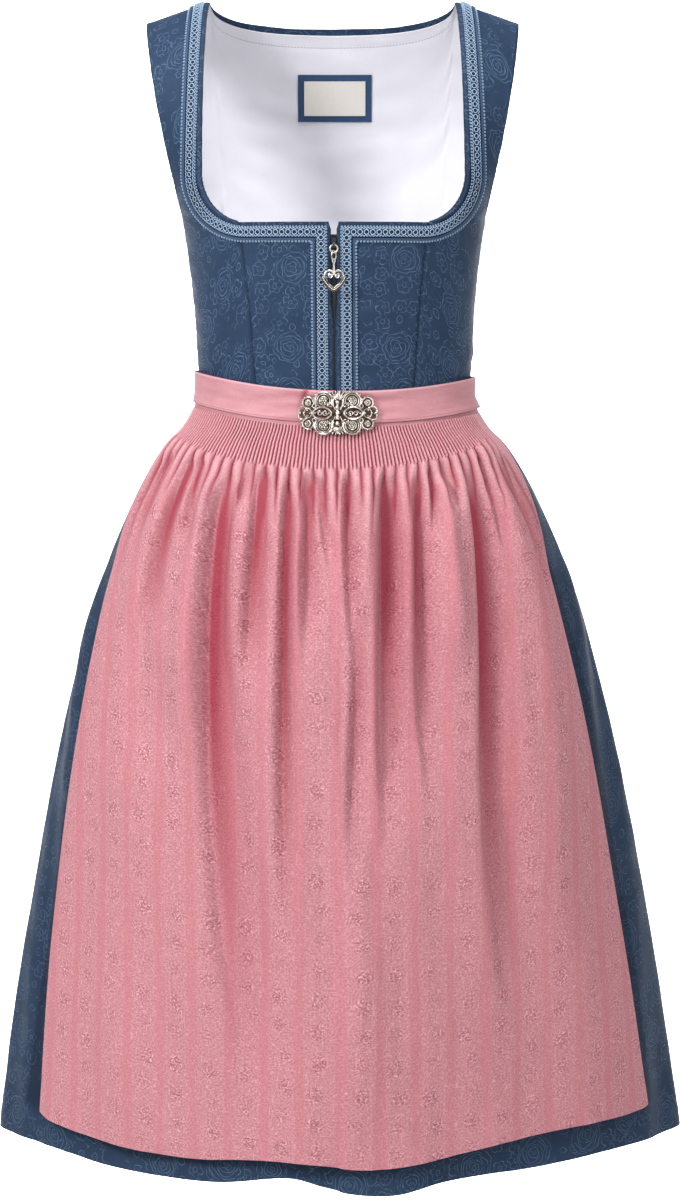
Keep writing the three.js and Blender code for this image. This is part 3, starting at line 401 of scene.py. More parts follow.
class Build:
    """Collects quads in millimetres and turns them into one object."""

    def __init__(self):
        self.verts, self.faces, self.uvs, self.slots, self.hollows, self.count = [], [], [], [], [], 0

    def add(self, verts, faces, uv=None, slot=0, hollow=None):
        self.verts.append(verts)
        self.faces.append(faces + self.count)
        self.uvs.append(np.zeros((len(verts), 2)) if uv is None else uv)
        self.slots.append(np.broadcast_to(slot, len(faces)))
        self.hollows.append(np.zeros(len(verts)) if hollow is None else hollow)
        self.count += len(verts)

    def stamp(self, shape, at, along, across, out, slot=0, scale=(1, 1, 1)):
        """Copies of a small shape, its x, y and z along the three directions given for each place."""
        verts, faces = shape
        verts = verts * np.asarray(scale)
        at, along, across, out = (np.atleast_2d(v) for v in np.broadcast_arrays(at, along, across, out))
        placed = (
            at[:, None]
            + verts[None, :, :1] * along[:, None]
            + verts[None, :, 1:2] * across[:, None]
            + verts[None, :, 2:] * out[:, None]
        )
        step = len(verts)
        numbered = faces[None] + (np.arange(len(at)) * step)[:, None, None]
        spots = at[:, [0, 2]] * MM
        self.add(placed.reshape(-1, 3), numbered.reshape(-1, 4), np.repeat(spots, step, 0), slot)

    def tube(self, line, radius, out, sides=8, closed=False, slot=0, flat=1.0):
        """A wire along a line of points, seen roughly from the side called out; flat squashes it that way."""
        line = np.asarray(line, float)
        if closed:
            tangent = unit(np.roll(line, -1, 0) - np.roll(line, 1, 0))
        else:
            tangent = unit(np.gradient(line, axis=0))
        side = unit(np.cross(tangent, np.broadcast_to(out, line.shape)))
        out = np.cross(side, tangent)
        turn = np.linspace(0, 2 * math.pi, sides, endpoint=False)[None, :, None]
        radius = np.broadcast_to(radius, len(line))[:, None, None]
        verts = line[:, None] + radius * (np.cos(turn) * side[:, None] + flat * np.sin(turn) * out[:, None])
        ids = np.arange(len(line) * sides).reshape(-1, sides)
        faces = [grid_quads(np.pad(ids, ((0, int(closed)), (0, 1)), mode="wrap"))]
        if not closed:
            for ring, order in ((ids[0], 1), (ids[-1], -1)):
                for i in range(sides // 2 - 1):
                    cap = [ring[i], ring[i + 1], ring[sides - 2 - i], ring[sides - 1 - i]]
                    faces.append(np.array([cap[::order]]))
        uv = np.stack(np.broadcast_arrays(run_along(line)[:, None], np.arange(sides) * 1.0), -1)
        self.add(verts.reshape(-1, 3), np.concatenate(faces), uv.reshape(-1, 2) * MM, slot)

    def balls(self, radius, at, slot=0, cuts=2):
        """A small ball at each place."""
        self.stamp(ball(radius, cuts), at, [1, 0, 0], [0, 1, 0], [0, 0, 1], slot)

    def shell(self, outer, inner, uv, hollow=None, slot=0, inner_slot=None):
        """A closed wall between two grids of points, rows from the top down."""
        rows, columns = outer.shape[:2]
        ids = np.arange(rows * columns).reshape(rows, columns)
        far = ids + rows * columns
        rims = [(far[0], ids[0]), (ids[-1], far[-1]), (ids[:, 0], far[:, 0]), (far[:, -1], ids[:, -1])]
        front = np.concatenate([grid_quads(ids)] + [grid_quads(np.array(rim)) for rim in rims])
        behind = grid_quads(far)[:, ::-1]
        slots = np.repeat([slot, slot if inner_slot is None else inner_slot], [len(front), len(behind)])
        verts = np.concatenate([outer.reshape(-1, 3), inner.reshape(-1, 3)])
        uvs = np.tile(uv.reshape(-1, 2), (2, 1)) * MM
        # Painted shade for each point, the same on both walls
        deep = None if hollow is None else np.tile(hollow.reshape(-1), 2)
        self.add(verts, np.concatenate([front, behind]), uvs, slots, deep)

    def object(self, name, materials, body_name="root", sharp=50):
        verts, faces = np.concatenate(self.verts) * MM, np.concatenate(self.faces)
        mesh = bpy.data.meshes.new(name)
        mesh.vertices.add(len(verts))
        mesh.vertices.foreach_set("co", verts.astype(np.float32).ravel())
        mesh.loops.add(faces.size)
        mesh.loops.foreach_set("vertex_index", faces.astype(np.int32).ravel())
        mesh.polygons.add(len(faces))
        mesh.polygons.foreach_set("loop_start", np.arange(0, faces.size, 4, dtype=np.int32))
        layer = mesh.uv_layers.new(name="cloth")
        layer.data.foreach_set("uv", np.concatenate(self.uvs)[faces.ravel()].astype(np.float32).ravel())
        # Each point's painted shade becomes an attribute by which the cloth materials darken their colour
        hollow = mesh.attributes.new("hollow", "FLOAT", "POINT")
        hollow.data.foreach_set("value", np.concatenate(self.hollows).astype(np.float32))
        for material in materials:
            mesh.materials.append(material)
        mesh.polygons.foreach_set("material_index", np.concatenate(self.slots).astype(np.int32))
        mesh.polygons.foreach_set("use_smooth", np.ones(len(faces), bool))
        mesh.update(calc_edges=True)
        mesh.validate()
        mesh.set_sharp_from_angle(angle=sharp * RAD)
        made = bpy.data.objects.new(name, mesh)
        bpy.context.collection.objects.link(made)
        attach(made, body_name)
        return made


def cut_of(outer):
    """Width, length and area of the flat cloth under a grid of points, in millimetres."""
    across = np.linalg.norm(np.diff(outer, axis=1), axis=-1)
    down = np.linalg.norm(np.diff(outer, axis=0), axis=-1)
    a, b = outer[1:, :-1] - outer[:-1, :-1], outer[:-1, 1:] - outer[:-1, :-1]
    area = np.linalg.norm(np.cross(a, b), axis=-1).sum()
    return across.sum(1).max(), down.sum(0).max(), area


def cloth_uv(outer, centre=0.5, start=(0, 0)):
    """Flat cloth coordinates from distances along the rows and down the columns."""
    u = run_along(outer, 1)
    u = u - u[:, [int(centre * (u.shape[1] - 1))]]
    return np.stack([u + start[0], start[1] - run_along(outer)], -1)


def finish_piece(build, name, materials, body_name="root", sharp=50):
    """Makes the object that stands for the frame's node of the same name."""
    made = build.object(name, materials, body_name, sharp)
    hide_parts(name)
    return made


def cloth(name, materials, slot, flat, held, rests_on, *walls):
    """Makes a sheet of cloth, each wall its outer and inner points, cloth coordinates and painted shade.

    The last material is the wrong side's, and the grid of points called flat states the cut.
    """
    build = Build()
    for wall in walls:
        build.shell(*wall, inner_slot=len(materials) - 1)
    made = finish_piece(build, name, materials)
    width, length, area = cut_of(flat)
    area = min(area, width * length)


# Materials

def srgb(r, g, b):
    return tuple(((c / 255 + 0.055) / 1.055) ** 2.4 if c > 10 else c / 255 / 12.92 for c in (r, g, b)) + (1,)


def operation(name):
    return lambda self, *others: self.graph.math(name, self, *others)


class Value:
    """A shader value that takes part in ordinary arithmetic."""

    __add__ = __radd__ = operation("ADD")
    __mul__ = __rmul__ = operation("MULTIPLY")
    __sub__, __truediv__, __abs__ = operation("SUBTRACT"), operation("DIVIDE"), operation("ABSOLUTE")
    __lt__, __gt__ = operation("LESS_THAN"), operation("GREATER_THAN")

    def __init__(self, graph, socket):
        self.graph, self.socket = graph, socket

    def __rsub__(self, other):
        return self.graph.math("SUBTRACT", other, self)


class Graph:
    """A material whose nodes are written as expressions."""

    def __init__(self, name, roughness, specular, metallic=0.0, sheen=0.0, coat=0.0):
        self.material = bpy.data.materials.new(name)
        self.material.use_nodes = True
        self.nodes, self.links = self.material.node_tree.nodes, self.material.node_tree.links
        self.shader = self.nodes["Principled BSDF"]
        for socket, value in (
            ("Roughness", roughness), ("Metallic", metallic), ("Sheen Weight", sheen),
            ("Specular IOR Level", specular), ("Sheen Roughness", 0.4), ("Coat Weight", coat),
        ):
            self.shader.inputs[socket].default_value = value

    def put(self, socket, value):
        if isinstance(value, Value):
            self.links.new(value.socket, socket)
        else:
            socket.default_value = value

    def node(self, kind, inputs=None, **settings):
        made = self.nodes.new("ShaderNode" + kind)
        for key, value in settings.items():
            setattr(made, key, value)
        for key, value in (inputs or {}).items():
            self.put(made.inputs[key], value)
        return made

    def math(self, operation, *values, clamp=False):
        made = self.node("Math", operation=operation, use_clamp=clamp)
        for n, value in enumerate(values):
            self.put(made.inputs[n], value)
        return Value(self, made.outputs[0])

    def uv(self):
        """Cloth coordinates in millimetres."""
        u, v, _ = self.split(Value(self, self.node("UVMap").outputs[0]))
        return u * 1000, v * 1000

    def hollow(self):
        """How much shade is painted at a point, from 0 to 1, mostly in folds, seams and gathers."""
        return Value(self, self.node("Attribute", attribute_name="hollow").outputs["Fac"])

    def place(self):
        """Position in millimetres."""
        return [part * 1000 for part in self.split(Value(self, self.node("NewGeometry").outputs["Position"]))]

    def vector(self, x, y, z=0.0):
        return Value(self, self.node("CombineXYZ", {0: x, 1: y, 2: z}).outputs[0])

    def noise(self, x, y, z=None, detail=1.0, output="Fac"):
        """Smooth noise about 0.5 in blots of about 1, flat where z is left out."""
        vector = self.vector(x, y, 0.0 if z is None else z)
        made = self.node(
            "TexNoise", {"Vector": vector, "Scale": 1.0, "Detail": detail},
            noise_dimensions="2D" if z is None else "3D")
        return Value(self, made.outputs[output])

    def grain(self, size, detail):
        """Noise through the solid, in blots of about this many mm."""
        x, y, z = self.place()
        return self.noise(x / size, y / size, z / size, detail=detail)

    def most(self, a, b):
        return self.math("MAXIMUM", a, b)

    def ramp(self, value, slope, start):
        """value * slope + start, held between 0 and 1."""
        return self.math("MULTIPLY_ADD", value, slope, start, clamp=True)

    def split(self, vector):
        made = self.node("SeparateXYZ", {0: vector})
        return [Value(self, out) for out in made.outputs]

    def line(self, distance, half, soft=0.35):
        """1 within half of a line, falling to 0 over soft on either side."""
        return self.ramp(distance, -1 / soft, half / soft + 0.5)

    def mix(self, a, b, factor):
        made = self.node("Mix", {0: factor, 6: a, 7: b}, data_type="RGBA")
        return Value(self, made.outputs[2])

    def finish(self, color, height=None, depth=0.3, roughness=None):
        """Sets the colour and, from a height of 0 to 1, a relief that is depth mm deep."""
        self.put(self.shader.inputs["Base Color"], color)
        if roughness is not None:
            self.put(self.shader.inputs["Roughness"], roughness)
        if height is not None:
            bump = self.node("Bump", {"Height": height, "Distance": depth * MM, "Strength": 1.0})
            self.links.new(bump.outputs[0], self.shader.inputs["Normal"])
        return self.material


def cells(graph, u, v, size, randomness):
    """Scattered cells: a point's place from the middle of its own cell, in mm, and three random numbers."""
    at = graph.vector(u / size, v / size)
    made = graph.node(
        "TexVoronoi", {"Vector": at, "Scale": 1.0, "Randomness": randomness}, voronoi_dimensions="2D")
    away = graph.node("VectorMath", {0: at, 1: Value(graph, made.outputs["Position"])}, operation="SUBTRACT")
    x, y, _ = graph.split(Value(graph, away.outputs[0]))
    return x * size, y * size, graph.split(Value(graph, made.outputs["Color"]))


def polar(graph, x, y):
    square = graph.math("MULTIPLY_ADD", x, x, y * y)
    return graph.math("SQRT", square), graph.math("ARCTAN2", y, x)


def blossom(graph, x, y, turn, size, half, petals=5):
    """The scalloped outline of a flower, the folds between its petals and a small ring in its middle."""
    r, angle = polar(graph, x, y)
    scallop = abs(graph.math("COSINE", angle * (petals / 2) + turn))
    rim = (graph.math("POWER", scallop, 0.6) * 0.3 + 0.7) * size
    outline = graph.line(abs(r - rim), half)
    eye = graph.line(abs(r - size * 0.27), half * 0.8)
    folds = graph.line(scallop * r, half * 0.7) * (r < rim) * (r > size * 0.3)
    return graph.most(graph.most(outline, eye), folds), r


def rose(graph, x, y, turn, size, spacing, half):
    """Nested uneven arcs in lobes, like the petals of a full rose."""
    r, angle = polar(graph, x, y)
    layer = graph.math("FLOOR", r / spacing)
    lobes = abs(graph.math("SINE", angle * 1.5 + turn + layer * 2.1))
    within = r - layer * spacing
    rings = graph.line(abs(within - spacing * 0.25 - lobes * (spacing * 0.45)), half)
    inside = r < size
    return rings * inside, inside


def weave_noise(graph, u, v, along=2.2, across=0.7):
    """Fine threads, longer one way than the other."""
    return (graph.noise(u / across, v / along) + graph.noise(u / along, v / across)) * 0.5


JACQUARD_GROUND = srgb(38, 54, 78), srgb(50, 70, 96), srgb(22, 34, 52)
JACQUARD_LINE = srgb(72, 94, 122), srgb(92, 116, 142)
# The dark blue painted as shade in seams, gathers and folds, and as shadow below and beside the apron
JACQUARD_PAINTED_SHADE = srgb(12, 18, 32)


def jacquard():
    """Dark blue satin with slightly lighter outlines: full roses with small blossoms between them."""
    graph = Graph("jacquard", roughness=0.55, specular=0.1)
    u, v = graph.uv()
    threads = weave_noise(graph, u, v)
    cloud = graph.noise(u / 80, v / 80, detail=2.0)
    push = graph.split(graph.noise(u / 9, v / 9, detail=1.5, output="Color"))
    u, v = u + (push[0] - 0.5) * 5, v + (push[1] - 0.5) * 5
    x, y, chance = cells(graph, u, v, 60, 0.45)
    roses, inside = rose(graph, x, y, chance[1] * 6.28, chance[0] * 5 + 14, 3.1, 0.36)
    bx, by, luck = cells(graph, u, v, 16.5, 0.5)
    flowers, away = blossom(graph, bx, by, luck[1] * 3.14, luck[0] * 1.6 + 6.4, 0.4)
    rosette = graph.line(graph.math("PINGPONG", away, 1.6), 0.4) * (away < 5.2)
    flowers = mix(flowers, rosette, luck[2] > 0.72)
    gap = graph.noise(u / 34, v / 34)
    worn = graph.noise(u / 5, v / 5)
    sprigs = graph.line(graph.math("PINGPONG", away + luck[2] * 3, 2.4), 0.35)
    sprigs = sprigs * (away > 8.6) * graph.ramp(worn, 6.0, -3.0)
    flowers = graph.most(flowers, sprigs) * (1 - inside)
    flowers = flowers * graph.ramp(gap, -9.0, 6.2)
    lines = graph.most(roses, flowers) * graph.ramp(worn, 3.2, -0.6)
    ground = graph.mix(JACQUARD_GROUND[0], JACQUARD_GROUND[1], cloud)
    ground = graph.mix(ground, JACQUARD_GROUND[2], threads * 0.5)
    thread = graph.mix(JACQUARD_LINE[0], JACQUARD_LINE[1], threads)
    height = lines * 0.5 + threads * 0.4
    color = graph.mix(ground, thread, lines * 0.75)
    # Painted shade darkens the colour towards the dark blue
    return graph.finish(graph.mix(color, JACQUARD_PAINTED_SHADE, graph.hollow()), height, 0.18)


def reverse_cloth():
    """The plain wrong side of the jacquard."""
    graph = Graph("jacquard_reverse", roughness=0.75, specular=0.08)
    u, v = graph.uv()
    threads = weave_noise(graph, u, v)
    return graph.finish(graph.mix(srgb(34, 50, 80), srgb(56, 76, 110), threads), threads, 0.25)


def lining_cloth():
    graph = Graph("lining", roughness=0.6, specular=0.1)
    u, v = graph.uv()
    threads = weave_noise(graph, u, v, 1.6, 0.5)
    cloud = graph.noise(u / 60, v / 60, detail=2.0)
    color = graph.mix(srgb(208, 207, 214), srgb(224, 223, 229), cloud)
    color = graph.mix(color, srgb(192, 191, 202), threads * 0.4)
    dashes = graph.line(graph.math("PINGPONG", u, 1.6), 1.0, 0.4)
    stitches = graph.line(abs(v + STITCH_LINE), 0.4, 0.5) * dashes
    color = graph.mix(color, srgb(120, 122, 140), stitches * 0.7)
    return graph.finish(color, threads, 0.12)


# The apron's dotted ground and its dark dots, the satin stripe, bright and dark threads, and the shade
# painted in its folds
APRON_PINK = dict(
    ground=srgb(176, 112, 120), dots=srgb(140, 74, 86), satin=srgb(176, 100, 110),
    bright=srgb(226, 182, 186), rose=srgb(140, 58, 76), fold=srgb(136, 36, 56))


def apron_cloth():
    """Dusty pink in a dotted weave with satin stripes, and columns of small woven flowers between them."""
    graph = Graph("apron_cloth", roughness=0.62, sheen=0.02, specular=0.08)
    u, v = graph.uv()
    threads = weave_noise(graph, u, v, 1.8, 0.7)
    pitch_u, pitch_v = 34.0, 27.5
    wander = graph.noise(u / 11, v / 150)
    across = graph.math("PINGPONG", u, pitch_u / 2)
    stripe = graph.line(across + (wander - 0.5) * 9, 4.2, 3.0)
    column = graph.math("ROUND", (u - pitch_u / 2) / pitch_u)
    x = u - pitch_u / 2 - column * pitch_u
    drift = graph.noise(u / 60, v / 45, 3)
    slid = v + graph.math("SINE", column * 12.9) * 11 + (drift - 0.5) * 26
    row = graph.math("ROUND", slid / pitch_v)
    y = slid - row * pitch_v
    chance = graph.math("FRACT", graph.math("SINE", column * 12.7 + row * 31.3) * 43.7)
    push = graph.split(graph.noise(u / 3, v / 3, output="Color"))
    x, y = x + (push[0] - 0.5) * 6 + (chance - 0.5) * 8, y + (push[1] - 0.5) * 6
    flowers, r = blossom(graph, x, y, chance * 6.28, chance * 1.6 + 5.0, 0.6)
    sprigs = graph.line(graph.math("PINGPONG", r + push[2] * 3, 1.7), 0.5) * graph.line(r, 8.5, 3.0)
    speck = graph.ramp(graph.noise(u / 2.1, v / 1.8), 5.0, -2.0)
    curls = graph.line(abs(graph.noise(u / 3.4, v / 3.0, 7, detail=0.0) - 0.5), 0.03, 0.06)
    flowers = graph.most(flowers, sprigs * 0.75)
    below_smock = graph.ramp(v, -1 / 60, -0.7)
    shown = below_smock * graph.ramp(drift, 3.0, -0.7)
    flowers, filled = flowers * shown, graph.line(r, 6.5, 4.0) * shown
    plain = stripe * 0.34
    ground = graph.mix(APRON_PINK["ground"], APRON_PINK["dots"], (1 - speck) * 0.6)
    ground = graph.mix(ground, APRON_PINK["bright"], graph.most(curls * 0.55, threads * 0.3))
    ground = graph.mix(ground, APRON_PINK["satin"], plain)
    marked = graph.mix(APRON_PINK["rose"], APRON_PINK["bright"], speck)
    color = graph.mix(ground, APRON_PINK["rose"], filled * 0.2)
    color = graph.mix(color, marked, flowers * 0.62)
    color = graph.mix(color, APRON_PINK["bright"], (1 - below_smock) * 0.34)
    # Painted shade in the smocking's valleys, between the gathers and in the creases
    color = graph.mix(color, APRON_PINK["fold"], graph.hollow() * 0.86)
    height = threads * 0.4 + flowers * 0.6 + (curls + speck) * (1 - plain) * 0.5
    return graph.finish(color, height, 0.3)


def plain_pink():
    """Ribbed cloth of the waistband and tie."""
    graph = Graph("apron_band", roughness=0.55, sheen=0.02, specular=0.12)
    u, v = graph.uv()
    threads = weave_noise(graph, u, v, 3.5, 0.6)
    cloud = graph.noise(u / 25, v / 6, detail=2.0)
    color = graph.mix(srgb(180, 125, 133), srgb(200, 151, 156), cloud)
    edge = graph.line(abs(v + 0.9), 0.5, 0.6)
    stitch = graph.line(abs(v + TIE_HEIGHT - 3.2), 0.25, 0.5)
    color = graph.mix(color, srgb(222, 176, 188), edge * 0.8)
    color = graph.mix(color, APRON_PINK["rose"], stitch * 0.5)
    color = graph.mix(color, APRON_PINK["dots"], threads * 0.35)
    # Painted shade in the tie's tuck and in the troughs of its wrinkles
    color = graph.mix(color, APRON_PINK["fold"], graph.hollow() * 0.75)
    return graph.finish(color, threads, 0.2)


def grained(name, dark, light, size, detail, relief, **shading):
    """Two colours in blots of about size mm, raised by up to relief mm."""
    graph = Graph(name, **shading)
    grain = graph.grain(size, detail)
    return graph.finish(graph.mix(dark, light, grain), grain if relief else None, relief)


def yarn(name, dark, light):
    return grained(name, dark, light, 0.9, 2.0, 0.15, roughness=0.6, sheen=0.02, specular=0.15)


def silver(name, dark, light, roughness):
    """Antique silver: bright where handled, brown-grey in patches."""
    graph = Graph(name, roughness=roughness, metallic=1.0, specular=0.5)
    patina = graph.ramp(graph.grain(2.2, 3.0), 2.4, -0.7)
    grain = graph.grain(0.5, 2.0)
    rough = graph.math("MULTIPLY_ADD", grain, 0.25, roughness - 0.1)
    return graph.finish(graph.mix(dark, light, patina), grain, 0.06, rough)


JACQUARD, REVERSE, LINING_CLOTH = jacquard(), reverse_cloth(), lining_cloth()
APRON_CLOTH, PLAIN_PINK = apron_cloth(), plain_pink()
BRAID_NET = yarn("braid_net", srgb(18, 28, 46), srgb(30, 44, 68))
BRAID_CORD = yarn("braid_cord", srgb(120, 146, 176), srgb(176, 198, 218))
BRAID_TAPE = yarn("braid_tape", srgb(44, 64, 92), srgb(62, 84, 112))
LABEL_BLUE = yarn("label_blue", srgb(38, 58, 88), srgb(54, 76, 108))
LABEL_CREAM = yarn("label_cloth", srgb(194, 189, 183), srgb(212, 208, 203))
SILVER_BRIGHT = silver("silver_bright", srgb(164, 150, 136), srgb(250, 246, 240), 0.26)
SILVER_DARK = silver("silver_dark", srgb(40, 30, 26), srgb(96, 82, 70), 0.5)
ZIP_BLACK = grained(
    "zip_black", srgb(22, 23, 26), srgb(44, 45, 50), 0.8, 2.0, 0.05, roughness=0.38, specular=0.5)
GEM = grained(
    "rhinestone", srgb(150, 146, 146), srgb(246, 243, 240), 0.7, 0.0, 0,
    roughness=0.08, specular=0.8, coat=1.0)


# Bodice

def sided(angle, h, side):
    """The left side mirrors the right one, and its columns run the other way."""
    return (angle, h) if side > 0 else (-angle[:, ::-1], h[:, ::-1])


def seam_dip(distance, depth=0.9, width=1.8):
    return -depth * bump(distance, width)


def pucker(distance, run, seed, depth=0.3, reach=6):
    """Small pulls across a line of stitches."""
    pulls = np.sin(run * 2 * math.pi / 5.2 + 2 * ripple(run, 0, seed, 40, 1))
    return depth * bump(distance, reach) * pulls


def front_centre(side):
    rows, columns = 96, 52
    r, c = np.linspace(1, 0, rows)[:, None], np.linspace(0, 1, columns)[None]
    rough = mix(waist(0), NECK_Z, r)
    start = place_at(placket_gap(rough) + lean(rough), rough)[0]
    angle = mix(start, princess(r - 1) - SEAM_TURN, c)
    x = body(angle, rough)[..., 0] - lean(rough)
    t = np.clip((NOTCH_HALF - np.maximum(x, PLACKET_GAP)) / (NOTCH_HALF - PLACKET_GAP), 0, 1)
    top_z = NECK_Z - NOTCH_DEPTH * (1 - np.sqrt(1 - t * t))
    h = mix(-1, -(top_z - UNDERARM_Z) / (waist(angle) - UNDERARM_Z), r)
    return sided(angle, h, side)


def front_side(side):
    rows, columns, low = 124, 46, 0.42
    t, c = np.linspace(1, 0, rows)[:, None], np.linspace(0, 1, columns)[None]
    round_corner = (PRINCESS_NECK_X - NECK_CORNER_X) / (NECK_HALF - NECK_CORNER_X)
    k_start = 1 + math.asin(round_corner) / (math.pi / 2)
    neck_start = float(neck(np.array(k_start), 0)[1])
    seam_h = mix(-1, neck_start, np.minimum(t / low, 1))
    up = np.maximum((t - low) / (1 - low), 0)
    neck_angle, neck_h = neck(mix(k_start, 3, up ** 0.8), 0)
    below = t <= low
    left = np.where(below, princess(seam_h) + SEAM_TURN, neck_angle + SEAM_TURN * (1 - smooth(0, 0.05, up)))
    left_h = np.where(below, seam_h, neck_h)
    right = np.where(below, math.pi / 2, armhole((neck_h - neck_start) / (1 - neck_start)))
    right_h = np.where(below, mix(-1, 0, np.minimum(t / low, 1)), (neck_h - neck_start) / (1 - neck_start))
    return sided(mix(left, right, c), mix(left_h, right_h, c), side)


def bodice_panel(name, angle, h, side, seed, start):
    """A cloth wall with its edges turned in at the seams and slight unevenness."""
    flat = front_surface(angle, h)
    uv = cloth_uv(flat, 0 if side > 0 else 1, start)
    from_left = run_along(flat, 1)
    from_right = from_left[:, -1:] - from_left
    run = uv[..., 1]
    out = seam_dip(from_left, 1.3) + seam_dip(from_right, 1.3)
    from_edge = np.minimum(from_left, from_right)
    out += 0.35 * bump(from_edge - 3, 1.2)
    out += pucker(from_left, run, seed) + pucker(from_right, run, seed + 1)
    out += 0.45 * np.minimum(1, from_edge / 12) * uneven(uv, seed + 2, 55, 26)
    outer, inner = (offset(front_surface, angle, h, out - depth) for depth in (0, CLOTH))
    # Shade is painted along the seams, where they dip
    cloth(
        name, [JACQUARD, LINING_CLOTH], "jacquard", flat, "stretched", ["bodice_back"],
        (outer, inner, uv, 0.36 * bump(from_edge, 0.8)))


for side_name, side in SIDES:
    bodice_panel(f"bodice_front_center_{side_name}", *front_centre(side), side, 11 + side, (side * 7, 0))
    bodice_panel(f"bodice_front_side_{side_name}", *front_side(side), side, 21 + side, (side * 150, 30))


def back_neck_z(x):
    return -BACK_NECK_DEPTH * np.sqrt(np.maximum(0, 1 - (np.abs(x) / STRAP_INNER) ** 3))


def back_angle(c, h):
    edge = math.pi - armhole(h)
    return mix(edge, 2 * math.pi - edge, c)


def back_top(c):
    """The h of the back neck edge at each column, 1 on the straps."""
    low, high = np.full_like(c, 0.3), np.ones_like(c)
    for _ in range(30):
        h = (low + high) / 2
        at = bodice(back_angle(c, h), h)
        above = at[..., 2] > back_neck_z(at[..., 0] - lean(at[..., 2]))
        low, high = np.where(above, low, h), np.where(above, h, high)
    ends = bodice(back_angle(c, np.ones_like(c)), np.ones_like(c))
    on_strap = np.abs(ends[..., 0] - lean(ends[..., 2])) >= STRAP_INNER
    return np.where(on_strap, 1, low)


def back_places(rows, columns, top):
    r, c = np.linspace(top, -1, rows)[:, None], np.linspace(0, 1, columns)[None]
    h = np.where(r > 0, r * back_top(c), r * np.ones_like(c))
    return back_angle(c, h), h


def build_back():
    angle, h = back_places(110, 150, 1)
    flat = back_surface(angle, h)
    uv = cloth_uv(flat, 0.5, (40, -20))
    seam = np.abs(np.abs(uv[..., 0] - 40) - mix(30, 62, smooth(-1, 0.6, h)))
    out = seam_dip(seam, 0.8, 1.6) + pucker(seam, uv[..., 1], 31)
    out = out + 0.5 * uneven(uv, 32, 60, 24) * smooth(0, 0.1, 1 - np.abs(h))
    outer, inner = (offset(back_surface, angle, h, place) for place in (out, -CLOTH))
    fronts = ["bodice_front_side_left", "bodice_front_side_right"]
    # Shade is painted along the seams, where they dip
    cloth(
        "bodice_back", [JACQUARD], "jacquard", flat, "stretched", fronts,
        (outer, inner, uv, 0.6 * bump(seam, 1.2)))


def build_lining():
    angle, h = back_places(130, 150, LINING_TOP)
    flat = offset(back_surface, angle, h, LINING_OUT)
    uv = cloth_uv(flat)
    below = -uv[..., 1]
    from_line = below - STITCH_LINE
    out = LINING_OUT + seam_dip(from_line, -0.35, 2.2) + pucker(from_line, uv[..., 0], 41, 0.3, 9)
    calm = smooth(0.9, 0.8, np.abs(uv[..., 0]) / 200) * smooth(0, 8, below)
    out = np.minimum(out - 0.35 - 0.35 * calm * uneven(uv, 42, 70, 40), LINING_OUT)
    cloth(
        "back_lining", [LINING_CLOTH], "lining", flat, "stretched", ["bodice_back"],
        (flat, offset(back_surface, angle, h, out - LINING), uv))


def label_piece(name, width, height, out, material, slot):
    columns, rows = np.linspace(width / 2, -width / 2, 24), np.linspace(height / 2, -height / 2, 16)
    z, x = grid(rows, columns)
    angle, h = place_at(LABEL["x"] + x, LABEL["z"] + z, True)
    angle = np.where(angle < 0, angle + 2 * math.pi, angle)
    flat, inner = (offset(back_surface, angle, h, out - depth) for depth in (0, LABEL["thick"]))
    cloth(name, [material], slot, flat, "laid", ["back_lining"], (flat, inner, np.stack([x, z], -1)))


build_back()
build_lining()
label_out = LINING_OUT - LINING - LAYER
label_piece("label_backing", LABEL["width"], LABEL["height"], label_out, LABEL_BLUE, "label_frame")
label_piece(
    "label_patch", LABEL["width"] - 2 * LABEL["rim"], LABEL["height"] - 2 * LABEL["rim"],
    label_out - LABEL["thick"] - GAP, LABEL_CREAM, "label_cloth")


# Braid

def braid_line(inset, side, samples=(150, 90, 120, 220)):
    """The dense path of one inset: down the strap, round the corner, along the neck and down by the zip."""
    strap = neck(np.linspace(3, 2, samples[0])[:-1], inset)
    corner = neck(np.linspace(2, 1, samples[1])[:-1], inset)
    neck_x = np.linspace(NECK_CORNER_X, PLACKET_GAP + inset, samples[2])[:-1]
    straight = place_at(neck_x + lean(NECK_Z), np.full_like(neck_x, NECK_Z - inset))
    down_z = np.linspace(NECK_Z - inset, float(tie_top(0)) - BAND_TUCK + GAP, samples[3])
    down = place_at(PLACKET_GAP + inset + lean(down_z), down_z)
    angle, h = (np.concatenate([part[n] for part in (strap, corner, straight, down)]) for n in (0, 1))
    return side * angle, h


def spaced(line, normal, gap):
    """Points at equal steps along a line, with the directions along, across and out."""
    run = run_along(line)
    count = int(run[-1] / gap)
    at = (np.arange(count) + 0.5) * run[-1] / count
    place = np.stack([np.interp(at, run, line[:, n]) for n in range(3)], -1)
    out = unit(np.stack([np.interp(at, run, normal[:, n]) for n in range(3)], -1))
    along = unit(np.stack([np.interp(at, run, np.gradient(line[:, n], run)) for n in range(3)], -1))
    return place, along, unit(np.cross(out, along)), out


